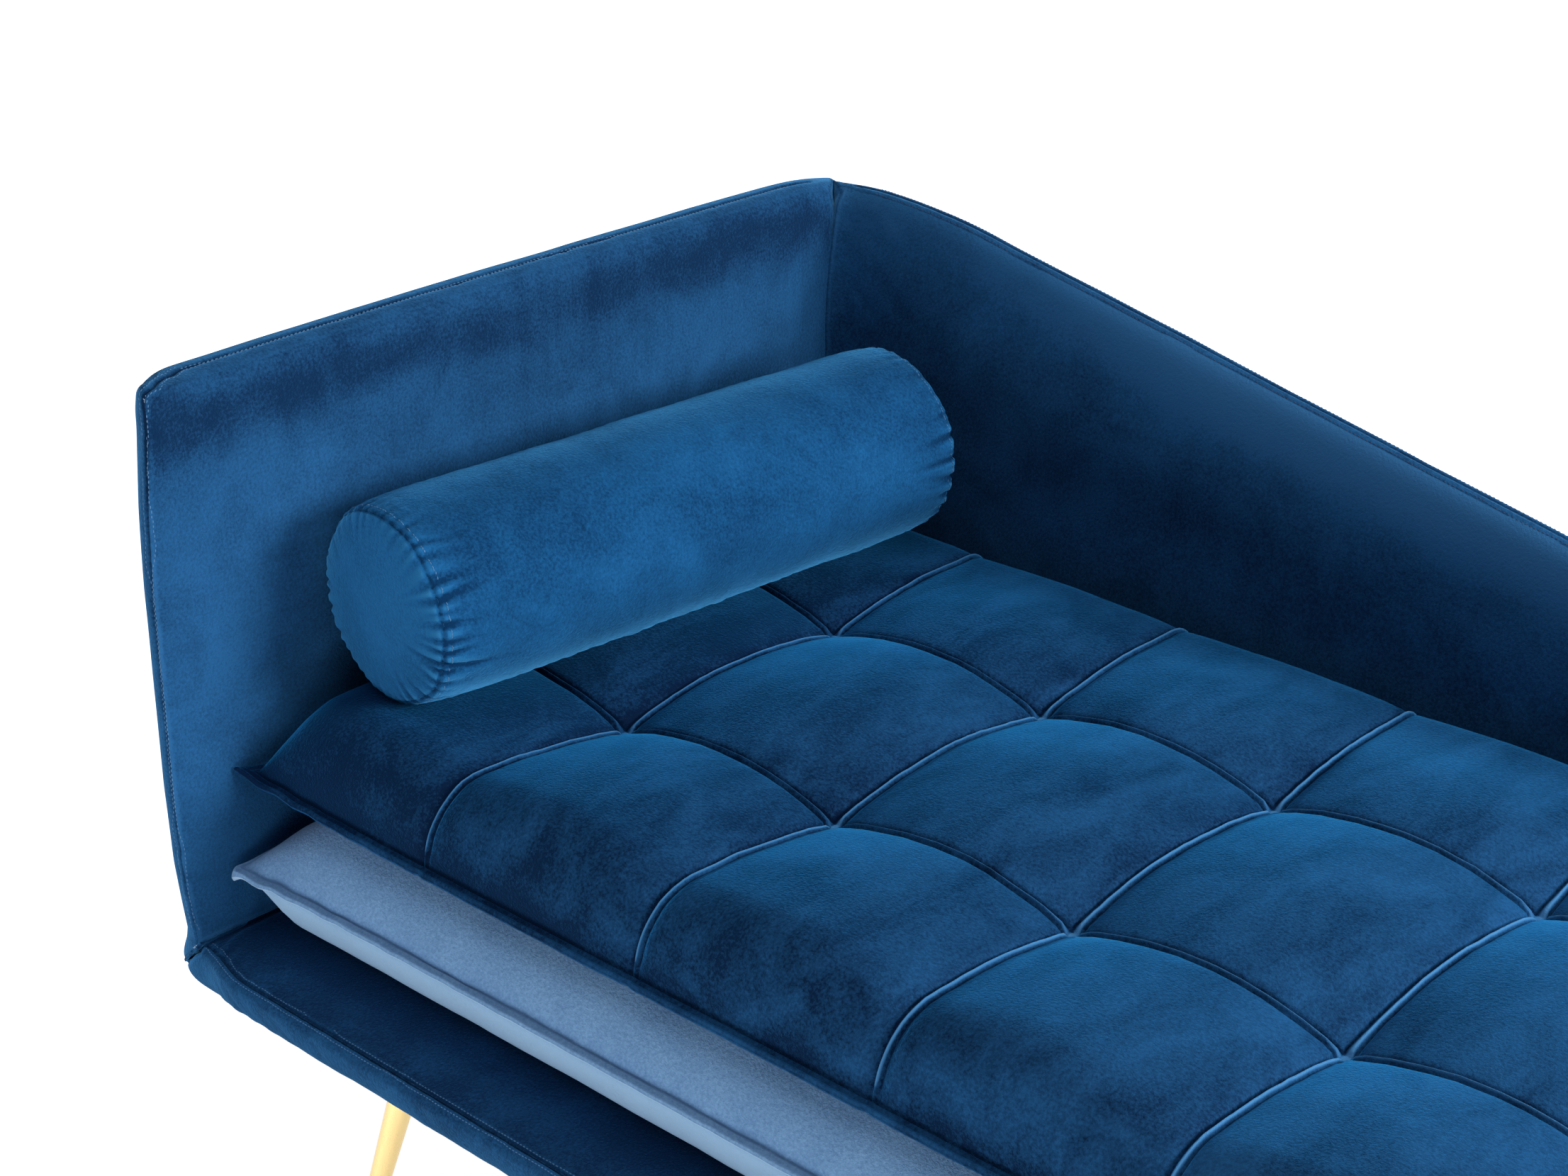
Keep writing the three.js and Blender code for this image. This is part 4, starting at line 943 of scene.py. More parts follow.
def crown_share(at, seams, pitch):
    """0 at a seam and 1 at the middle of a panel."""
    first, last = seams[0], seams[-1]
    inside = np.mod((at - first) / pitch, 1)
    outside = np.minimum(np.maximum(first - at, at - last) / pitch, 0.5)
    return np.sin(np.pi * np.where((at < first) | (at > last), outside, inside))


def from_seam(at, seams):
    return np.min([np.abs(at - seam) for seam in seams], axis=0)


def tuck(d):
    """Profile across a pin-tuck: a narrow ridge with a groove on each side."""
    return 2.7 * bump_at(d, 0, 1.1) - 2.4 * bump_at(d, 2.6, 1.3) - 1.5 * fade(d, 9)


def upper_top(x, y):
    """Height of the tufted top over the mattress's underside, without its tucks."""
    far = smooth_step((y - (upper_high[1] - 175)) / 150)
    along_x = crown_share(x, UPPER_X, COLUMN) * (1 - 0.82 * far)
    along_y = crown_share(y, UPPER_Y, ROW)
    crown = LENGTHWISE_ARCH * along_x + CROSSWISE_ARCH * along_y - PANEL_BLEND * along_x * along_y
    left = x - upper_low[0] - UPPER_FLANGE
    right = upper_high[0] - UPPER_FLANGE - x
    front = y - upper_low[1] - UPPER_FLANGE
    back = upper_high[1] - UPPER_FLANGE - y
    soft_corner = PRESSED_ROUNDING + 34 * fade(np.clip(front, 0, None), 70)
    share = (edge_share(left, soft_corner) * edge_share(right, FREE_ROUNDING)
             * edge_share(front, FREE_ROUNDING) * edge_share(back, PRESSED_ROUNDING))
    near_front = smooth_step((UPPER_Y[0] - 60 - y) / 60)
    crown += 6 * (1 - along_x) * along_y * near_front * fade(x - upper_low[0], 250)
    return (UPPER_THICKNESS - 3 + crown) * share


def upper_relief(x, y, edge):
    """How far the tucks, their stitch lines and the pinched crossings stand from the smooth top."""
    d_x = from_seam(x, UPPER_X)
    d_y = from_seam(y, UPPER_Y)
    node = np.hypot(d_x, d_y)
    calm = 1 - 0.9 * bump_at(node, 0, 4)
    seam_x = tuck(d_x) * calm
    seam_y = tuck(d_y) * calm
    over = np.where(np.abs(seam_x) > np.abs(seam_y), seam_x, seam_y)
    relief = over + 0.3 * (seam_x + seam_y - over)
    relief -= 3.2 * bump_at(node, 0, 6) + 1.5 * bump_at(node, 0, 16)
    relief += 0.5 * np.sin(np.arctan2(d_y, d_x) * 14) * bump_at(node, 9, 6)
    flat = np.stack([x, y, 0 * x], 1)
    gathers = unevenness(flat, 9, 25) * (fade(d_x, 11) + fade(d_y, 11))
    soft = unevenness(flat, 55, 20) + 0.35 * unevenness(flat, 22, 21) + 0.7 * gathers
    return (relief + soft) * smooth_step((edge - UPPER_FLANGE + 1) / 3)


def build_upper_mattress():
    xs = spaced(upper_low[0], upper_high[0], 9, UPPER_X, TUCK_CUTS)
    ys = spaced(upper_low[1], upper_high[1], 7, UPPER_Y, TUCK_CUTS)
    xs = even_sides(rim_cuts(xs, upper_low[0], upper_high[0], UPPER_RIM, 50), 40)
    ys = even_sides(rim_cuts(ys, upper_low[1], upper_high[1], UPPER_RIM, 50), 30)
    piece = cut_block("upper_mattress_cover", xs, ys, [0, 1, 2])
    p = points(piece)
    x, y, side = p.T.copy()
    edge = from_rim(x, y, upper_low, upper_high)
    from_head = x - upper_low[0]
    from_front = y - upper_low[1]
    near_front = fade(from_front, 60)
    lift = 3 * fade(from_head, 400) * near_front + 8 * fade(from_head, 60) * near_front
    wave = 1.6 * fade(from_head, 90) * np.sin(x / 5.2) * fade(edge, 12)
    ripple = 0.8 * unevenness(np.stack([x, y, 0 * x], 1), 16, 26) * fade(edge, 9)
    middle = upper_low[2] + 2.4 + lift + wave + ripple
    flange = flange_swell(edge, UPPER_FLANGE, UPPER_FLANGE_THICKNESS)
    on_body = np.clip((edge - UPPER_FLANGE) / 1e-3, 0, 1)
    drop = smooth_step((edge - UPPER_FLANGE) / 18)
    lowest = upper_low[2] + 0.1
    bottom = np.maximum(middle - flange, lowest) * (1 - drop) + drop * lowest
    p[:, 2] = three_levels(side, bottom, middle, middle + flange + on_body * upper_top(x, y))
    draw_in(p, x, y, upper_low, upper_high, UPPER_DRAW_IN)
    tip = fade(np.hypot(from_head, from_front), 14)
    p[:, 1] -= 9 * tip
    p[:, 2] += 7 * tip
    for seam in UPPER_X:
        p[:, 1] += 1.6 * bump_at(x, seam, 4) * fade(edge, 6) * (y < 0)
    set_points(piece, p)
    finish_mesh(piece, levels=0)
    swell(piece, upper_relief(x, y, edge) * (side > 1.5))
    # Painted highlights on the tucks and painted shade in the grooves beside them; a painted highlight on the
    # flange's edge and painted shade where it meets the body; painted light growing towards the foot and
    # painted shade at the head end.
    across, along = from_seam(x, UPPER_X), from_seam(y, UPPER_Y)
    painted_shading = 2.0 * bump_at(across, 0, 0.9) + 0.9 * bump_at(along, 0, 0.9)
    painted_shading -= 0.9 * bump_at(np.minimum(across, along), 2.7, 1.0)
    painted_shading *= smooth_step((edge - UPPER_FLANGE) / 2)
    rim = 0.5 * bump_at(edge, 2, 1.2) - 0.6 * bump_at(edge, UPPER_FLANGE, 1.5)
    painted_light_to_foot = 0.45 * smooth_step((x + 500) / 900) - fade(from_head, 280)
    paint_light_and_shade(piece, rim * (side > 0.5) + (painted_shading + painted_light_to_foot) * (side > 1.5))
    claim(piece, "upper_mattress", "navy_velvet", navy_top_shaded, "upper_mattress", fill=0.75)


LOWER_FLANGE = 8
LOWER_FLANGE_THICKNESS = 3.4
LOWER_CONTACT = 46
LOWER_TOP_CONTACT = 58
LOWER_DRAW_IN = 6
LOWER_CORNER = (12, 12)
FLANGE_RISE = 59.5
HEAD_END_SLOPE = 0.62
FILLING_INSET = 13
ZIP_MIDDLE = 3.5
ZIP_REACH = 452
ZIP_BED = 308.6
ZIP_BED_START = 286
LOWER_RIM = (0.4, 1, 1.8, 2.6, 3.4, 4.2, 5, 5.8, 6.6, 7.4, 8, 8.3, 8.8, 9.6, 11, 13, 16, 20, 25, 31, 38, 45,
             54)
FILLING_RIM = (1, 2.5, 5, 9, 14, 20, 27, 35, 44)
lower_low, lower_high = node_box("lower_mattress_cover")


def cushion_block(name, inset, rim, step):
    """A block cut up for the cushion or for the filling inside it."""
    cuts = []
    for i in (0, 1):
        low, high = lower_low[i] + inset, lower_high[i] - inset
        lines = rim_cuts(spaced(low, high, step), low, high, rim, rim[-1] + 6)
        cuts.append(even_sides(lines, 40) if len(lines) > MOST_CUTS + 1 else lines)
    return cut_block(name, *cuts, [0, 1, 2])


def cushion_form(piece, inset):
    """Gives a cut block the cushion's wedge-sided pillow shape, or that of the filling inside it."""
    p = points(piece)
    x, y, side = p.T.copy()
    low, high = lower_low + inset, lower_high - inset
    edge = from_rim(x, y, low, high)
    from_head, from_front = x - lower_low[0], y - lower_low[1]
    flange_width = 0 if inset else LOWER_FLANGE
    on_body = np.clip((edge - flange_width) / 1e-3, 0, 1)
    share_above, share_below = 1.0, 1.0
    distances = (x - low[0], high[0] - x, y - low[1], high[1] - y)
    for distance, slope in zip(distances, (HEAD_END_SLOPE, 1, 1, 1)):
        inside = distance - flange_width
        share_above = share_above * edge_share(inside * slope, LOWER_TOP_CONTACT - inset - flange_width, 1.3)
        share_below = share_below * edge_share(inside, LOWER_CONTACT - inset - flange_width, 1.5)
    gap = 0.4 * inset
    rise = lower_high[2] - lower_low[2] - FLANGE_RISE - 1.7 - gap
    fall = FLANGE_RISE - 1.7 - gap
    bent = -9 * np.exp(-from_head / 45 - from_front / 60)
    flange = 1.5
    if not inset:
        bent += (1.8 * fade(from_head, 80) + 0.25) * np.sin(x / 5.8) * fade(edge, 14)
        knob = bump_at(np.hypot(from_head - 6, from_front - 6), 0, 9)
        flange = flange_swell(edge, LOWER_FLANGE, LOWER_FLANGE_THICKNESS) * (1 + 1.6 * knob)
    middle = lower_low[2] + FLANGE_RISE + bent * fade(np.clip(edge - flange_width, 0, None), 20)
    top = np.minimum(middle + flange + on_body * rise * share_above, lower_high[2] - 0.1 - gap)
    bottom = np.maximum(middle - flange - on_body * fall * share_below, lower_low[2] + 0.1 + gap)
    p[:, 2] = three_levels(side, bottom, middle, top)
    by_zip = smooth_step((ZIP_REACH + 6 - np.abs(x - ZIP_MIDDLE)) / 6)
    by_zip *= np.clip((y - ZIP_BED_START) / (lower_high[1] - ZIP_BED_START), 0, 1)
    p[:, 1] -= (lower_high[1] - ZIP_BED) * by_zip
    for end in ((0, low[0], -1), (0, high[0], 1)):
        for long_side in ((1, low[1], -1), (1, high[1], 1)):
            round_edge(p, end, long_side, LOWER_CORNER)
    draw_in(p, x, y, lower_low, lower_high, LOWER_DRAW_IN)
    set_points(piece, p)
    finish_mesh(piece, levels=0)
    return edge, side, on_body


def build_lower_mattress():
    piece = cushion_block("lower_mattress_cushion", 0, LOWER_RIM, 14)
    edge, side, on_body = cushion_form(piece, 0)
    p = points(piece)
    sides = np.clip(1 - (edge - LOWER_FLANGE) / 60, 0, 1) * on_body
    swell(piece, sides * (unevenness(p, 60, 22) + 0.6 * unevenness(p * (1, 1, 0.3), 20, 23)))
    rests_above = smooth_step((p[:, 2] - lower_high[2] + 2.5) / 1.5)
    rests_below = smooth_step((lower_low[2] + 2.5 - p[:, 2]) / 1.5)
    sewn = smooth_step((LOWER_FLANGE + 6 - edge) / 5)
    settle_cloth(piece, np.max([rests_above, rests_below, sewn], axis=0), pressure=3.0, spare=0.02, cap=4.0)
    # Painted highlight on the flange's edge, painted shade where it meets the body and over the top, and
    # painted light over the underside.
    rim = 0.5 * bump_at(edge, 1.5, 1.2) - 0.7 * bump_at(edge, LOWER_FLANGE, 1.5)
    paint_light_and_shade(piece, rim - 0.2 * (side > 1.5) + 1.0 * (side < 0.5))
    claim(piece, "lower_mattress", "light_blue_velvet", pale, "lower_mattress_cover", fill=0.8)


def build_lower_filling():
    """The foam inside the cushion, cut to the same shape a little smaller."""
    piece = cushion_block("lower_mattress_filling", FILLING_INSET, FILLING_RIM, 24)
    cushion_form(piece, FILLING_INSET)
    claim(piece, "lower_mattress", "foam", foam, "lower_mattress_foam", fill=0.8)


build_upper_mattress()
build_lower_mattress()
build_lower_filling()


# Bolster

BOLSTER_TURN = 4.5
BOLSTER_RADIUS = 77
BOLSTER_NECK = 5
BOLSTER_DISC = BOLSTER_RADIUS - BOLSTER_NECK
BOLSTER_SHOULDER = 60
BOLSTER_DOME = 11
BOLSTER_SIDES = 216
DISC_RINGS = 10
GATHERS = 46
ZIP_TURN = math.radians(245)
ZIP_HALF = 165
bolster_low, bolster_high = node_box("bolster_cover")
bolster_middle = (bolster_low + bolster_high) / 2
bolster_axis = np.array([math.sin(math.radians(BOLSTER_TURN)), math.cos(math.radians(BOLSTER_TURN)), 0])
bolster_side = np.array([bolster_axis[1], -bolster_axis[0], 0])
BOLSTER_HALF = ((bolster_high[1] - bolster_low[1]) - 2 * BOLSTER_DOME) / 2 + 1.5


def bolster_out(turn):
    """Directions from the bolster's axis, by their angle from +X over the top."""
    return np.cos(turn)[:, None] * bolster_side + np.sin(turn)[:, None] * np.array([0, 0, 1])


def on_bolster(along, turn, radius):
    """Points of the bolster from their places along the axis, their angles and their radii."""
    along, turn, radius = np.broadcast_arrays(along, turn, radius)
    return bolster_middle + along[:, None] * bolster_axis + radius[:, None] * bolster_out(turn)


def bolster_profile():
    """Outline from the middle of one end disc to the other: place along the axis, and radius."""
    disc = [(0, 1.0), (10, 0.995), (22, 0.96), (34, 0.88), (45, 0.76), (54, 0.6), (61, 0.42), (66, 0.26),
            (69, 0.13), (71, 0.05), (BOLSTER_DISC, 0.0)]
    half = [(BOLSTER_HALF + BOLSTER_DOME * rise, r) for r, rise in disc]
    steps = [0.5, 1, 1.6, 2.4, 3.4, 4.6, 6, 7.8, 10, 13, 16.5, 20.5, 25]
    rest = BOLSTER_HALF - steps[-1] - 3
    count = int(rest / 6.3)
    steps += [steps[-1] + rest * (i + 1) / count for i in range(count)]
    for d in steps:
        neck = BOLSTER_NECK * (1 - min(d / BOLSTER_SHOULDER, 1)) ** 3
        half.append((BOLSTER_HALF - d, BOLSTER_RADIUS - neck))
    return np.array(half + [(-a, r) for a, r in reversed(half)])


def ring_gathers(turn, from_ring, on_body, seed):
    """How far the cloth is drawn in by the uneven gathers beside a ring seam."""
    rng = np.random.default_rng(seed)
    total = np.zeros(len(turn))
    for i in range(GATHERS):
        angle = (i + rng.uniform(-0.35, 0.35)) / GATHERS * 2 * math.pi - math.pi
        patch = 0.45 + 0.55 * math.sin(angle * 2 + seed) + (0.9 if -1.3 < angle < -0.1 else 0)
        depth = rng.uniform(1.8, 5.6) * max(patch, 0.3)
        width = rng.uniform(1.9, 3.4)
        length = rng.uniform(5, 17)
        slant = rng.uniform(-0.25, 0.25)
        off = np.angle(np.exp(1j * (turn - angle - slant * from_ring / BOLSTER_RADIUS))) * BOLSTER_RADIUS
        form = bump_at(off, 0, width) - 0.3 * bump_at(np.abs(off), 2 * width, width)
        total += depth * form * fade(from_ring, np.where(on_body, length, 0.5 * length))
    return np.clip(total, -1.5, 5.0)


def build_bolster():
    outline = bolster_profile()
    piece = primitive(bpy.ops.mesh.primitive_cylinder_add, "bolster", vertices=BOLSTER_SIDES, radius=1,
                      depth=1, end_fill_type="TRIFAN")
    first, second = [np.hypot(*p[:, :2].T) for p in edge_ends(piece)]
    cut_edges(piece, np.abs(first - second) > 0.5 / MM, DISC_RINGS)
    body_count = len(outline) - 1 - 2 * DISC_RINGS
    cut_edges(piece, edges_along(piece, 2), body_count)
    p = points(piece) * MM
    turn = np.arctan2(p[:, 1], p[:, 0])
    on_body = np.abs(p[:, 2]) <= 0.4999
    ring = np.rint(np.hypot(p[:, 0], p[:, 1]) * DISC_RINGS).astype(int)
    body_row = DISC_RINGS + np.rint((0.5 - p[:, 2]) * body_count).astype(int)
    row = np.where(on_body, body_row, np.where(p[:, 2] > 0, ring, len(outline) - 1 - ring))
    along, reach = outline[row].T
    from_ring = np.where(on_body, np.abs(np.abs(along) - BOLSTER_HALF), BOLSTER_DISC - reach)
    drawn = np.where(along < 0, ring_gathers(turn, from_ring, on_body, 1),
                     ring_gathers(turn, from_ring, on_body, 2))
    waves = np.array([noise.noise(Vector((math.cos(t) * 1.7, math.sin(t) * 1.7, 6.0 if a > 0 else 3.0)))
                      for t, a in zip(turn, along)])
    along = along - np.sign(along) * np.where(on_body, 0, np.clip(drawn, -0.6, 2.2))
    ring_waves = 2.4 * waves * fade(np.where(on_body, from_ring, 0), 26)
    reach = reach - np.where(on_body, drawn + ring_waves, ring_waves * reach / BOLSTER_DISC)
    reach = reach - 2.4 * bump_at(from_ring, 0, 1.3)
    p = on_bolster(along, turn, reach)
    soft = 1.2 * unevenness(p, 60, 24) + 0.35 * unevenness(p, 24, 27)
    under = bump_at(turn, -1.05, 0.35) * bump_at(along, -40, 70)
    soft += 1.3 * under * unevenness(p * (1, 2.6, 1), 18, 28)
    p += bolster_out(turn) * (soft * np.clip(reach / 60, 0, 1))[:, None]
    set_points(piece, p)
    edit(piece, bpy.ops.mesh.select_all, action="SELECT")
    edit(piece, bpy.ops.mesh.normals_make_consistent, inside=False)
    finish_mesh(piece, levels=0)
    rests = smooth_step((bolster_low[2] + 9 - p[:, 2]) / 6)
    held = np.maximum(np.maximum(smooth_step((22 - from_ring) / 12), rests), 0.6)
    settle_cloth(piece, np.where(on_body, held, 1.0), pressure=2.0, spare=0.008, cap=2.0)
    p = points(piece)
    zip_turn = np.angle(np.exp(1j * (turn - ZIP_TURN))) * BOLSTER_RADIUS
    recess = smooth_step((7.6 - np.abs(zip_turn)) / 1.6) * smooth_step((ZIP_HALF + 2 - np.abs(along)) / 2)
    sunk = on_bolster(along, turn, np.minimum(reach, BOLSTER_RADIUS - 5.6))
    p += (sunk - p) * (recess * on_body)[:, None]
    set_points(piece, p)
    # Painted shade in the ring seams and their gathers, a painted highlight beside each seam, painted shading
    # round the body, and painted light over the end discs.
    painted_shading = 0.3 * bump_at(from_ring, 3.4, 1.5) - 0.9 * bump_at(from_ring, 0, 1.6)
    shading = 0.3 * bump_at(turn, -0.35, 0.6) - 0.3 * bump_at(turn, 2.0, 0.5)
    paint_light_and_shade(piece, painted_shading - 0.85 * np.clip(drawn, -0.9, 2.2) + np.where(on_body, shading, 0.6))
    return claim(piece, "bolster", "bright_blue_velvet", bright, "bolster_cover", fill=0.85)


bolster = build_bolster()


# Small shapes that are modelled once and copied

def copies_of(piece, spots, forward, outward):
    """Copies a small shape, made at the origin along X with Z outward, to many places."""
    spots = np.asarray(spots, float)
    one = points(piece)
    active(piece)
    repeat = piece.modifiers.new("copies", "ARRAY")
    repeat.count = len(spots)
    repeat.use_relative_offset = False
    bpy.ops.object.modifier_apply(modifier=repeat.name)
    outward = unit(np.broadcast_to(outward, spots.shape))
    forward = unit(np.broadcast_to(forward, spots.shape))
    forward = unit(forward - (forward * outward).sum(1, keepdims=True) * outward)
    side = np.cross(outward, forward)
    p = (spots[:, None] + one[None, :, :1] * forward[:, None] + one[None, :, 1:2] * side[:, None]
         + one[None, :, 2:] * outward[:, None])
    set_points(piece, p.reshape(-1, 3))
    active(piece)
    bpy.ops.object.shade_smooth()
    return piece


def one_stitch(name, length, width, height):
    """A short length of thread whose ends dip into the cloth."""
    piece = primitive(bpy.ops.mesh.primitive_uv_sphere_add, name, segments=5, ring_count=4, radius=1)
    p = (points(piece) * MM)[:, (2, 0, 1)]
    p[:, 2] = p[:, 2] * height / 2 - 0.45 * height * p[:, 0] ** 2
    p[:, 0] *= length / 2
    p[:, 1] *= width / 2
    set_points(piece, p)
    return piece


def small_box(name, size, rounding, segments):
    piece = primitive(bpy.ops.mesh.primitive_cube_add, name, size=1)
    set_points(piece, points(piece) * MM * size)
    bevel(piece, rounding, segments)
    return piece


def surface_of(piece):
    faces = [tuple(face.vertices) for face in piece.data.polygons]
    return BVHTree.FromPolygons([Vector(v) for v in points(piece)], faces)


def on_surface(surface, spots):
    """Nearest places on a surface, with its normals there and how far away they are."""
    hits = [surface.find_nearest(Vector(q)) for q in spots]
    return [np.array([hit[i] for hit in hits]) for i in (0, 1, 3)]


def smoothed(values, count=4):
    kernel = np.ones(2 * count + 1) / (2 * count + 1)
    padded = np.pad(values, ((count, count), (0, 0)), mode="edge")
    return np.stack([np.convolve(padded[:, k], kernel, mode="valid") for k in range(3)], 1)


STITCH = (2.5, 0.85, 0.6)
BAND_STITCH = (2.2, 0.85, 0.6)
BOLSTER_STITCH = (2.5, 0.8, 0.6)
BOLSTER_STITCHES = 130
KNOT = (4.4, 0.9, 0.9)
STITCH_LIFT = 0.12


def sew_rows(name, path, rows, thread, pitch=3.6, size=STITCH):
    """Rows of stitches beside a seam, laid on the finished cloth: each row has a surface and an offset."""
    path = dense(path, pitch)
    tangent = unit(smoothed(np.gradient(path, axis=0), 2))
    spots, along, outward = [], [], []
    for surface, offset in rows:
        _, n, _ = on_surface(surface, path)
        across = unit(np.cross(tangent, unit(smoothed(n))))
        place, n, d = on_surface(surface, path + offset * across)
        near = d < 5
        spots.append(place[near] + STITCH_LIFT * n[near])
        along.append(tangent[near])
        outward.append(n[near])
    stitch = one_stitch(name, *size)
    copies_of(stitch, *map(np.concatenate, (spots, along, outward)))
    claim(stitch, "frame", "navy_velvet", thread)


head_skin, back_skin, band_skin, foot_skin, top_skin = [
    surface_of(piece) for piece in (head_panel, back_panel, front_band, foot_band, platform_top)]
sew_rows("head_panel_stitches", head_seam[2:-6], [(head_skin, 5), (head_skin, -5)], thread_blue)
sew_rows("back_panel_stitches", back_seam[6:], [(back_skin, 5), (back_skin, -5)], thread_dark)
sew_rows("platform_front_stitches", front_seam, [(band_skin, 5), (top_skin, -5)], thread_blue, 3.1,
         BAND_STITCH)
sew_rows("platform_foot_stitches", foot_seam, [(foot_skin, 5)], thread_blue, 3.1, BAND_STITCH)


def tie_knots():
    """Three short threads at each end of the head panel's front seam."""
    spots, along, outward = [], [], []
    for knot in (head_seam[0], head_seam[59] + [0, 2, -4]):
        place, n, _ = on_surface(head_skin, knot + np.array([(0, 0, 0), (0.8, 0.4, 1.6), (-0.6, 0.2, -1.5)]))
        spots.append(place + 0.3 * n)
        along.append(np.cross(n, (0.2, 0.1, 1.0)) + [[0, 0, 0.4], [0, 0, 0.1], [0, 0, -0.3]])
        outward.append(n)
    piece = one_stitch("seam_end_knots", *KNOT)
    copies_of(piece, *map(np.concatenate, (spots, along, outward)))
    claim(piece, "frame", "navy_velvet", thread_pale)


def stitch_bolster():
    """A row of stitches beside the ring seam at each end of the bolster."""
    skin = surface_of(bolster)
    turns = np.linspace(0, 2 * math.pi, BOLSTER_STITCHES + 1)[:-1]
    spots, outward = [], []
    for end in (-1, 1):
        place, n, _ = on_surface(skin, on_bolster(end * (BOLSTER_HALF - 4.5), turns, BOLSTER_RADIUS))
        spots.append(place + STITCH_LIFT * n)
        outward.append(n)
    outward = np.concatenate(outward)
    stitch = one_stitch("bolster_stitches", *BOLSTER_STITCH)
    copies_of(stitch, np.concatenate(spots), np.cross(bolster_axis, outward), outward)
    claim(stitch, "bolster", "bright_blue_velvet", thread_blue)


tie_knots()
stitch_bolster()


# Legs

LEG_X = 646.0
LEG_Y = 297.5
LEG_TOP = 192.7
LEG_CUT = 4.3
LEG_LEAN = 0.2
LEG_RADII = (5.25, 10.75)
LEG_STEPS = (0, 1.2, 2.2, 30, 70, 110, 150, 170)
PLATE_THICKNESS = 12
SCREW_REACH = 22


def lathe(name, profile, sides=40):
    """A closed round body: its outline runs from the bottom to the top as (height, radius)."""
    piece = primitive(bpy.ops.mesh.primitive_cylinder_add, name, vertices=sides, radius=1, depth=1,
                      end_fill_type="NGON")
    cut_edges(piece, edges_along(piece, 2), len(profile) - 1)
    p = points(piece) * MM
    row = np.rint((p[:, 2] + 0.5) * (len(profile) - 1)).astype(int)
    outline = np.array(profile, float)
    p[:, :2] *= outline[row, 1:2]
    p[:, 2] = outline[row, 0]
    set_points(piece, p)
    active(piece)
    bpy.ops.object.shade_smooth_by_angle(angle=math.radians(32))
    return piece


def build_leg(name, side_x, side_y):
    """A slim round leg that leans outward and is cut level above its glide."""
    axis = np.array([-side_x * LEG_LEAN, -side_y * LEG_LEAN, 1.0])
    length = (LEG_TOP - LEG_CUT) * np.linalg.norm(axis)
    axis = unit(axis)
    top = length - PLATE_THICKNESS
    outline = [(h, np.interp(h, (0, top), LEG_RADII) - (0.5 if h == 0 else 0)) for h in LEG_STEPS]
    leg = lathe(name + "_tube", outline + [(top - 1.5, 10.65), (top - 0.6, 10.6), (top, 9.9)])
    p = points(leg)
    u = unit(np.cross((0.0, 1.0, 0.0), axis))
    v = np.cross(axis, u)
    head = np.array([LEG_X * side_x, LEG_Y * side_y, LEG_TOP])
    height = p[:, 2:].copy()
    p = head - axis * length + height * axis + p[:, :1] * u + p[:, 1:2] * v
    foot = smooth_step(1 - height[:, 0] / 12)
    p += ((LEG_CUT + height[:, 0] - p[:, 2]) / axis[2] * foot)[:, None] * axis
    set_points(leg, p)
    claim(leg, "frame", "satin_gold", gold, name)


for row_name, side_y in (("front", -1), ("back", 1)):
    for column_name, side_x in (("head", -1), ("middle", 0), ("foot", 1)):
        build_leg(f"leg_{row_name}_{column_name}", side_x, side_y)

screw = lathe("leg_plate_screws", [(-2.4, 2.2), (-2.1, 3.4), (-1.2, 4.3), (-0.3, 4.6), (0.4, 4.6)], 16)
screw_places = [(LEG_X * i + SCREW_REACH * a, LEG_Y * j + SCREW_REACH * b, LEG_TOP)
                for i in (-1, 0, 1) for j in (-1, 1) for a in (-1, 1) for b in (-1, 1)]
copies_of(screw, screw_places, (1, 0, 0), (0, 0, 1))
claim(screw, "frame", "zinc_steel", steel)


# Dust cover under the platform, with its staples

dust_low, dust_high = node_box("dust_cover")
HEM = 16
RAIL_HALF = 50
RAIL_SPAN = 546
STAPLE = (10.5, 0.9, 0.7)
STAPLE_INSET = 7
STAPLE_PITCH = 62


def build_dust_cover():
    cuts = [spaced(dust_low[i], dust_high[i], 14, [dust_low[i] + HEM, dust_high[i] - HEM], (0.8, 2))
            for i in (0, 1)]
    piece = cut_block("dust_cover_sheet", *cuts, [0, 1])
    p = points(piece)
    x, y, side = p.T.copy()
    edge = from_rim(x, y, dust_low, dust_high)
    hem = smooth_step((HEM + 0.4 - edge) / 0.8)
    between = arch((np.abs(x) - RAIL_HALF) / RAIL_SPAN)
    between *= arch((y - dust_low[1] - 17) / (dust_high[1] - dust_low[1] - 62))
    sag = 2.6 * between + 0.5 * between * unevenness(np.stack([x, y, 0 * x], 1), 45, 30)
    pulled = 0.25 * np.sin(x / 9.5) * fade(edge, 22) * (between > 0)
    p[:, 2] = dust_high[2] - 0.1 - sag + pulled - np.where(side < 0.5, 0.55 + 0.5 * hem, 0)
    set_points(piece, p)
    finish_mesh(piece, levels=0)
    claim(piece, "frame", "black_cloth", black_cloth, "dust_cover")


def build_staples():
    """Flat staples round the dust cover's hem."""
    piece = small_box("dust_cover_staples", STAPLE, 0.2, 2)
    near, far = dust_low + STAPLE_INSET, dust_high - STAPLE_INSET
    depth = dust_high[2] - 1.3
    spots, along = [], []
    for x in np.arange(dust_low[0] + 38, dust_high[0] - 20, STAPLE_PITCH):
        spots += [(x, near[1], depth), (x, far[1], depth)]
        along += [(1, 0.12, 0), (1, -0.08, 0)]
    for y in np.arange(dust_low[1] + 48, dust_high[1] - 20, STAPLE_PITCH):
        spots += [(near[0], y, depth), (far[0], y, depth)]
        along += [(0.1, 1, 0), (-0.07, 1, 0)]
    copies_of(piece, spots, along, (0, 0, -1))
    claim(piece, "frame", "zinc_steel", steel)


build_dust_cover()
build_staples()


# Zips

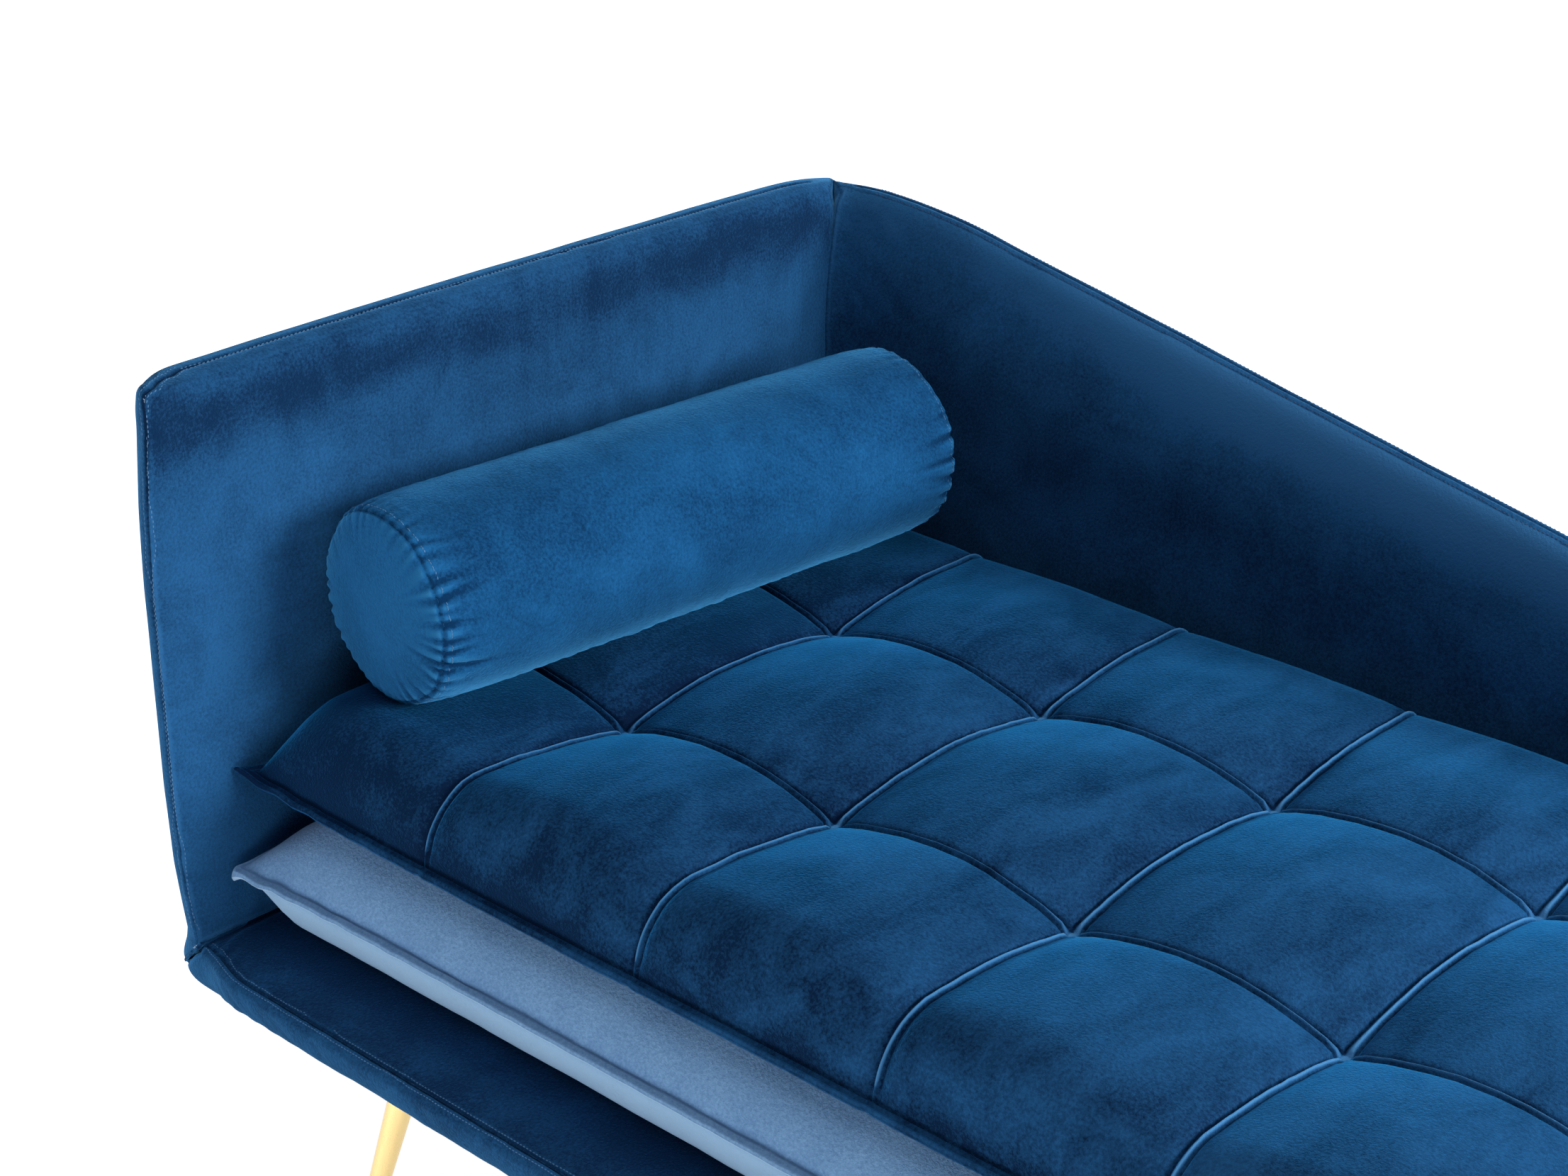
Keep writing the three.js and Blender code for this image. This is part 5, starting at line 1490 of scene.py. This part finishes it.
TOOTH = (1.3, 3.6, 1.1)
TEETH_PITCH = 2.1
TEETH_RISE = 1.1


def mirrored(*places):
    """The places with their opposites, in order."""
    return sorted({side * v for v in places for side in (-1, 1)})


def build_zip(name, place, length, width, body, slot_name, cloth):
    """A closed zip: two tapes, a row of teeth and a slider with its pull, put in place by a function."""
    tape = cut_block(name + "_tape", spaced(-length / 2, length / 2, 6),
                     mirrored(0.4, 1.9, 2.2, width / 4, width / 2), [0, 1.0])
    x, y, z = points(tape).T
    z = z * (0.9 + 0.25 * bump_at(np.abs(y), width / 2 - 1, 0.8)) - 0.5 * (np.abs(y) < 0.5) * (z > 0.5)
    set_points(tape, place(x, y, z + 0.15 * np.sin(x / 7.0)))
    active(tape)
    bpy.ops.object.shade_smooth_by_angle(angle=math.radians(40))
    claim(tape, body, slot_name, cloth, name)

    teeth = small_box(name + "_teeth", TOOTH, 0.3, 1)
    x = np.arange(-length / 2 + 4, length / 2 - 4, TEETH_PITCH)
    spots = place(x, 0 * x, 0 * x + TEETH_RISE)
    copies_of(teeth, spots, place(x + 1, 0 * x, 0 * x + TEETH_RISE) - spots,
              place(x, 0 * x, 0 * x + TEETH_RISE + 1) - spots)
    claim(teeth, body, "black_plastic", black_plastic)

    slider = cut_block(name + "_slider", mirrored(0, 3.2, 4.4, 5), mirrored(0, 2, 3.3, 3.8),
                       [0.9, 1.3, 2.3, 2.7])
    x, y, z = points(slider).T
    y = y * (1 - 0.3 * smooth_step((x + 1) / 6))
    set_points(slider, place(x + length / 2 - 14, y, z - 0.5 * (np.abs(x) / 5) ** 4))

    pull = cut_block(name + "_pull", [-11, -10, -8.5, -3, 0, 2.2, 3], mirrored(0.9, 1.9, 2.4),
                     [2.8, 3.2, 3.7])
    x, y, z = points(pull).T
    y = y * (1 - 0.35 * smooth_step((x + 4) / 7))
    set_points(pull, place(x + length / 2 - 15, y, z))
    for part in (slider, pull):
        finish_mesh(part)
        claim(part, body, "zinc_steel", steel)


lower_zip_low, lower_zip_high = node_box("lower_mattress_zip")
lower_zip_middle = (lower_zip_low + lower_zip_high) / 2
ZIP_TAPE = 309.3
BOLSTER_ZIP_BED = BOLSTER_RADIUS - 5.3


def in_lower_mattress(x, y, z):
    return np.stack([lower_zip_middle[0] + x, ZIP_TAPE + z, lower_zip_middle[2] - y], 1)


def in_bolster(x, y, z):
    return on_bolster(x, ZIP_TURN - y / (BOLSTER_RADIUS - 5), BOLSTER_ZIP_BED + z)


build_zip("lower_mattress_zip", in_lower_mattress, lower_zip_high[0] - lower_zip_low[0], 11,
          "lower_mattress", "light_blue_velvet", pale)
build_zip("bolster_zip", in_bolster, 2 * ZIP_HALF, 11.4, "bolster", "bright_blue_velvet", bright)


# Stage and light

def add_light(name, place, aim, size, energy):
    data = bpy.data.lights.new(name, "AREA")
    data.shape = "RECTANGLE"
    data.size, data.size_y = size
    data.energy = energy
    lamp = bpy.data.objects.new(name, data)
    bpy.context.scene.collection.objects.link(lamp)
    lamp.visible_camera = False
    lamp.location = place
    lamp.rotation_euler = (Vector(aim) - Vector(place)).to_track_quat("-Z", "Y").to_euler()


def seen_plainly(tree):
    """1 for what the camera sees by itself, in a reflection or through a piece, and 0 for other light."""
    path = tree.nodes.new("ShaderNodeLightPath").outputs
    seen = path["Is Camera Ray"]
    for other in ("Is Glossy Ray", "Is Transmission Ray"):
        seen = add_node(tree, "Math", {0: seen, 1: path[other]}, operation="MAXIMUM")
    return seen


def build_stage():
    floor = primitive(bpy.ops.mesh.primitive_plane_add, "floor", size=14)
    material, tree, shader = new_material("white floor")
    set_inputs(tree, shader, {"Base Color": (0.82, 0.82, 0.82, 1), "Roughness": 0.9})
    glow = add_node(tree, "Emission", {"Color": (1, 1, 1, 1), "Strength": 0.92})
    dark = add_node(tree, "Emission", {"Color": (0, 0, 0, 1), "Strength": 0.0})
    extra = add_node(tree, "MixShader", {0: seen_plainly(tree), 1: dark, 2: glow})
    both = add_node(tree, "AddShader", {0: shader.outputs[0], 1: extra})
    tree.links.new(both, tree.nodes["Material Output"].inputs["Surface"])
    floor.data.materials.append(material)

    world = bpy.data.worlds.new("studio")
    bpy.context.scene.world = world
    world.use_nodes = True
    tree = world.node_tree
    strength = span(tree, seen_plainly(tree), 0.1, 1.0)
    set_inputs(tree, tree.nodes["Background"], {"Color": (1, 1, 1, 1), "Strength": strength})


build_stage()
add_light("key", (2.3, 0.95, 1.6), (-0.5, 0, 0.42), (1.2, 1.2), 112)
add_light("top", (0.1, -0.4, 3.0), (-0.3, 0, 0.3), (2.0, 2.0), 30)
add_light("low", (-0.3, -1.2, 0.03), (-0.3, -0.7, 0.6), (2.6, 0.7), 26)
bpy.context.scene.view_settings.view_transform = "Standard"
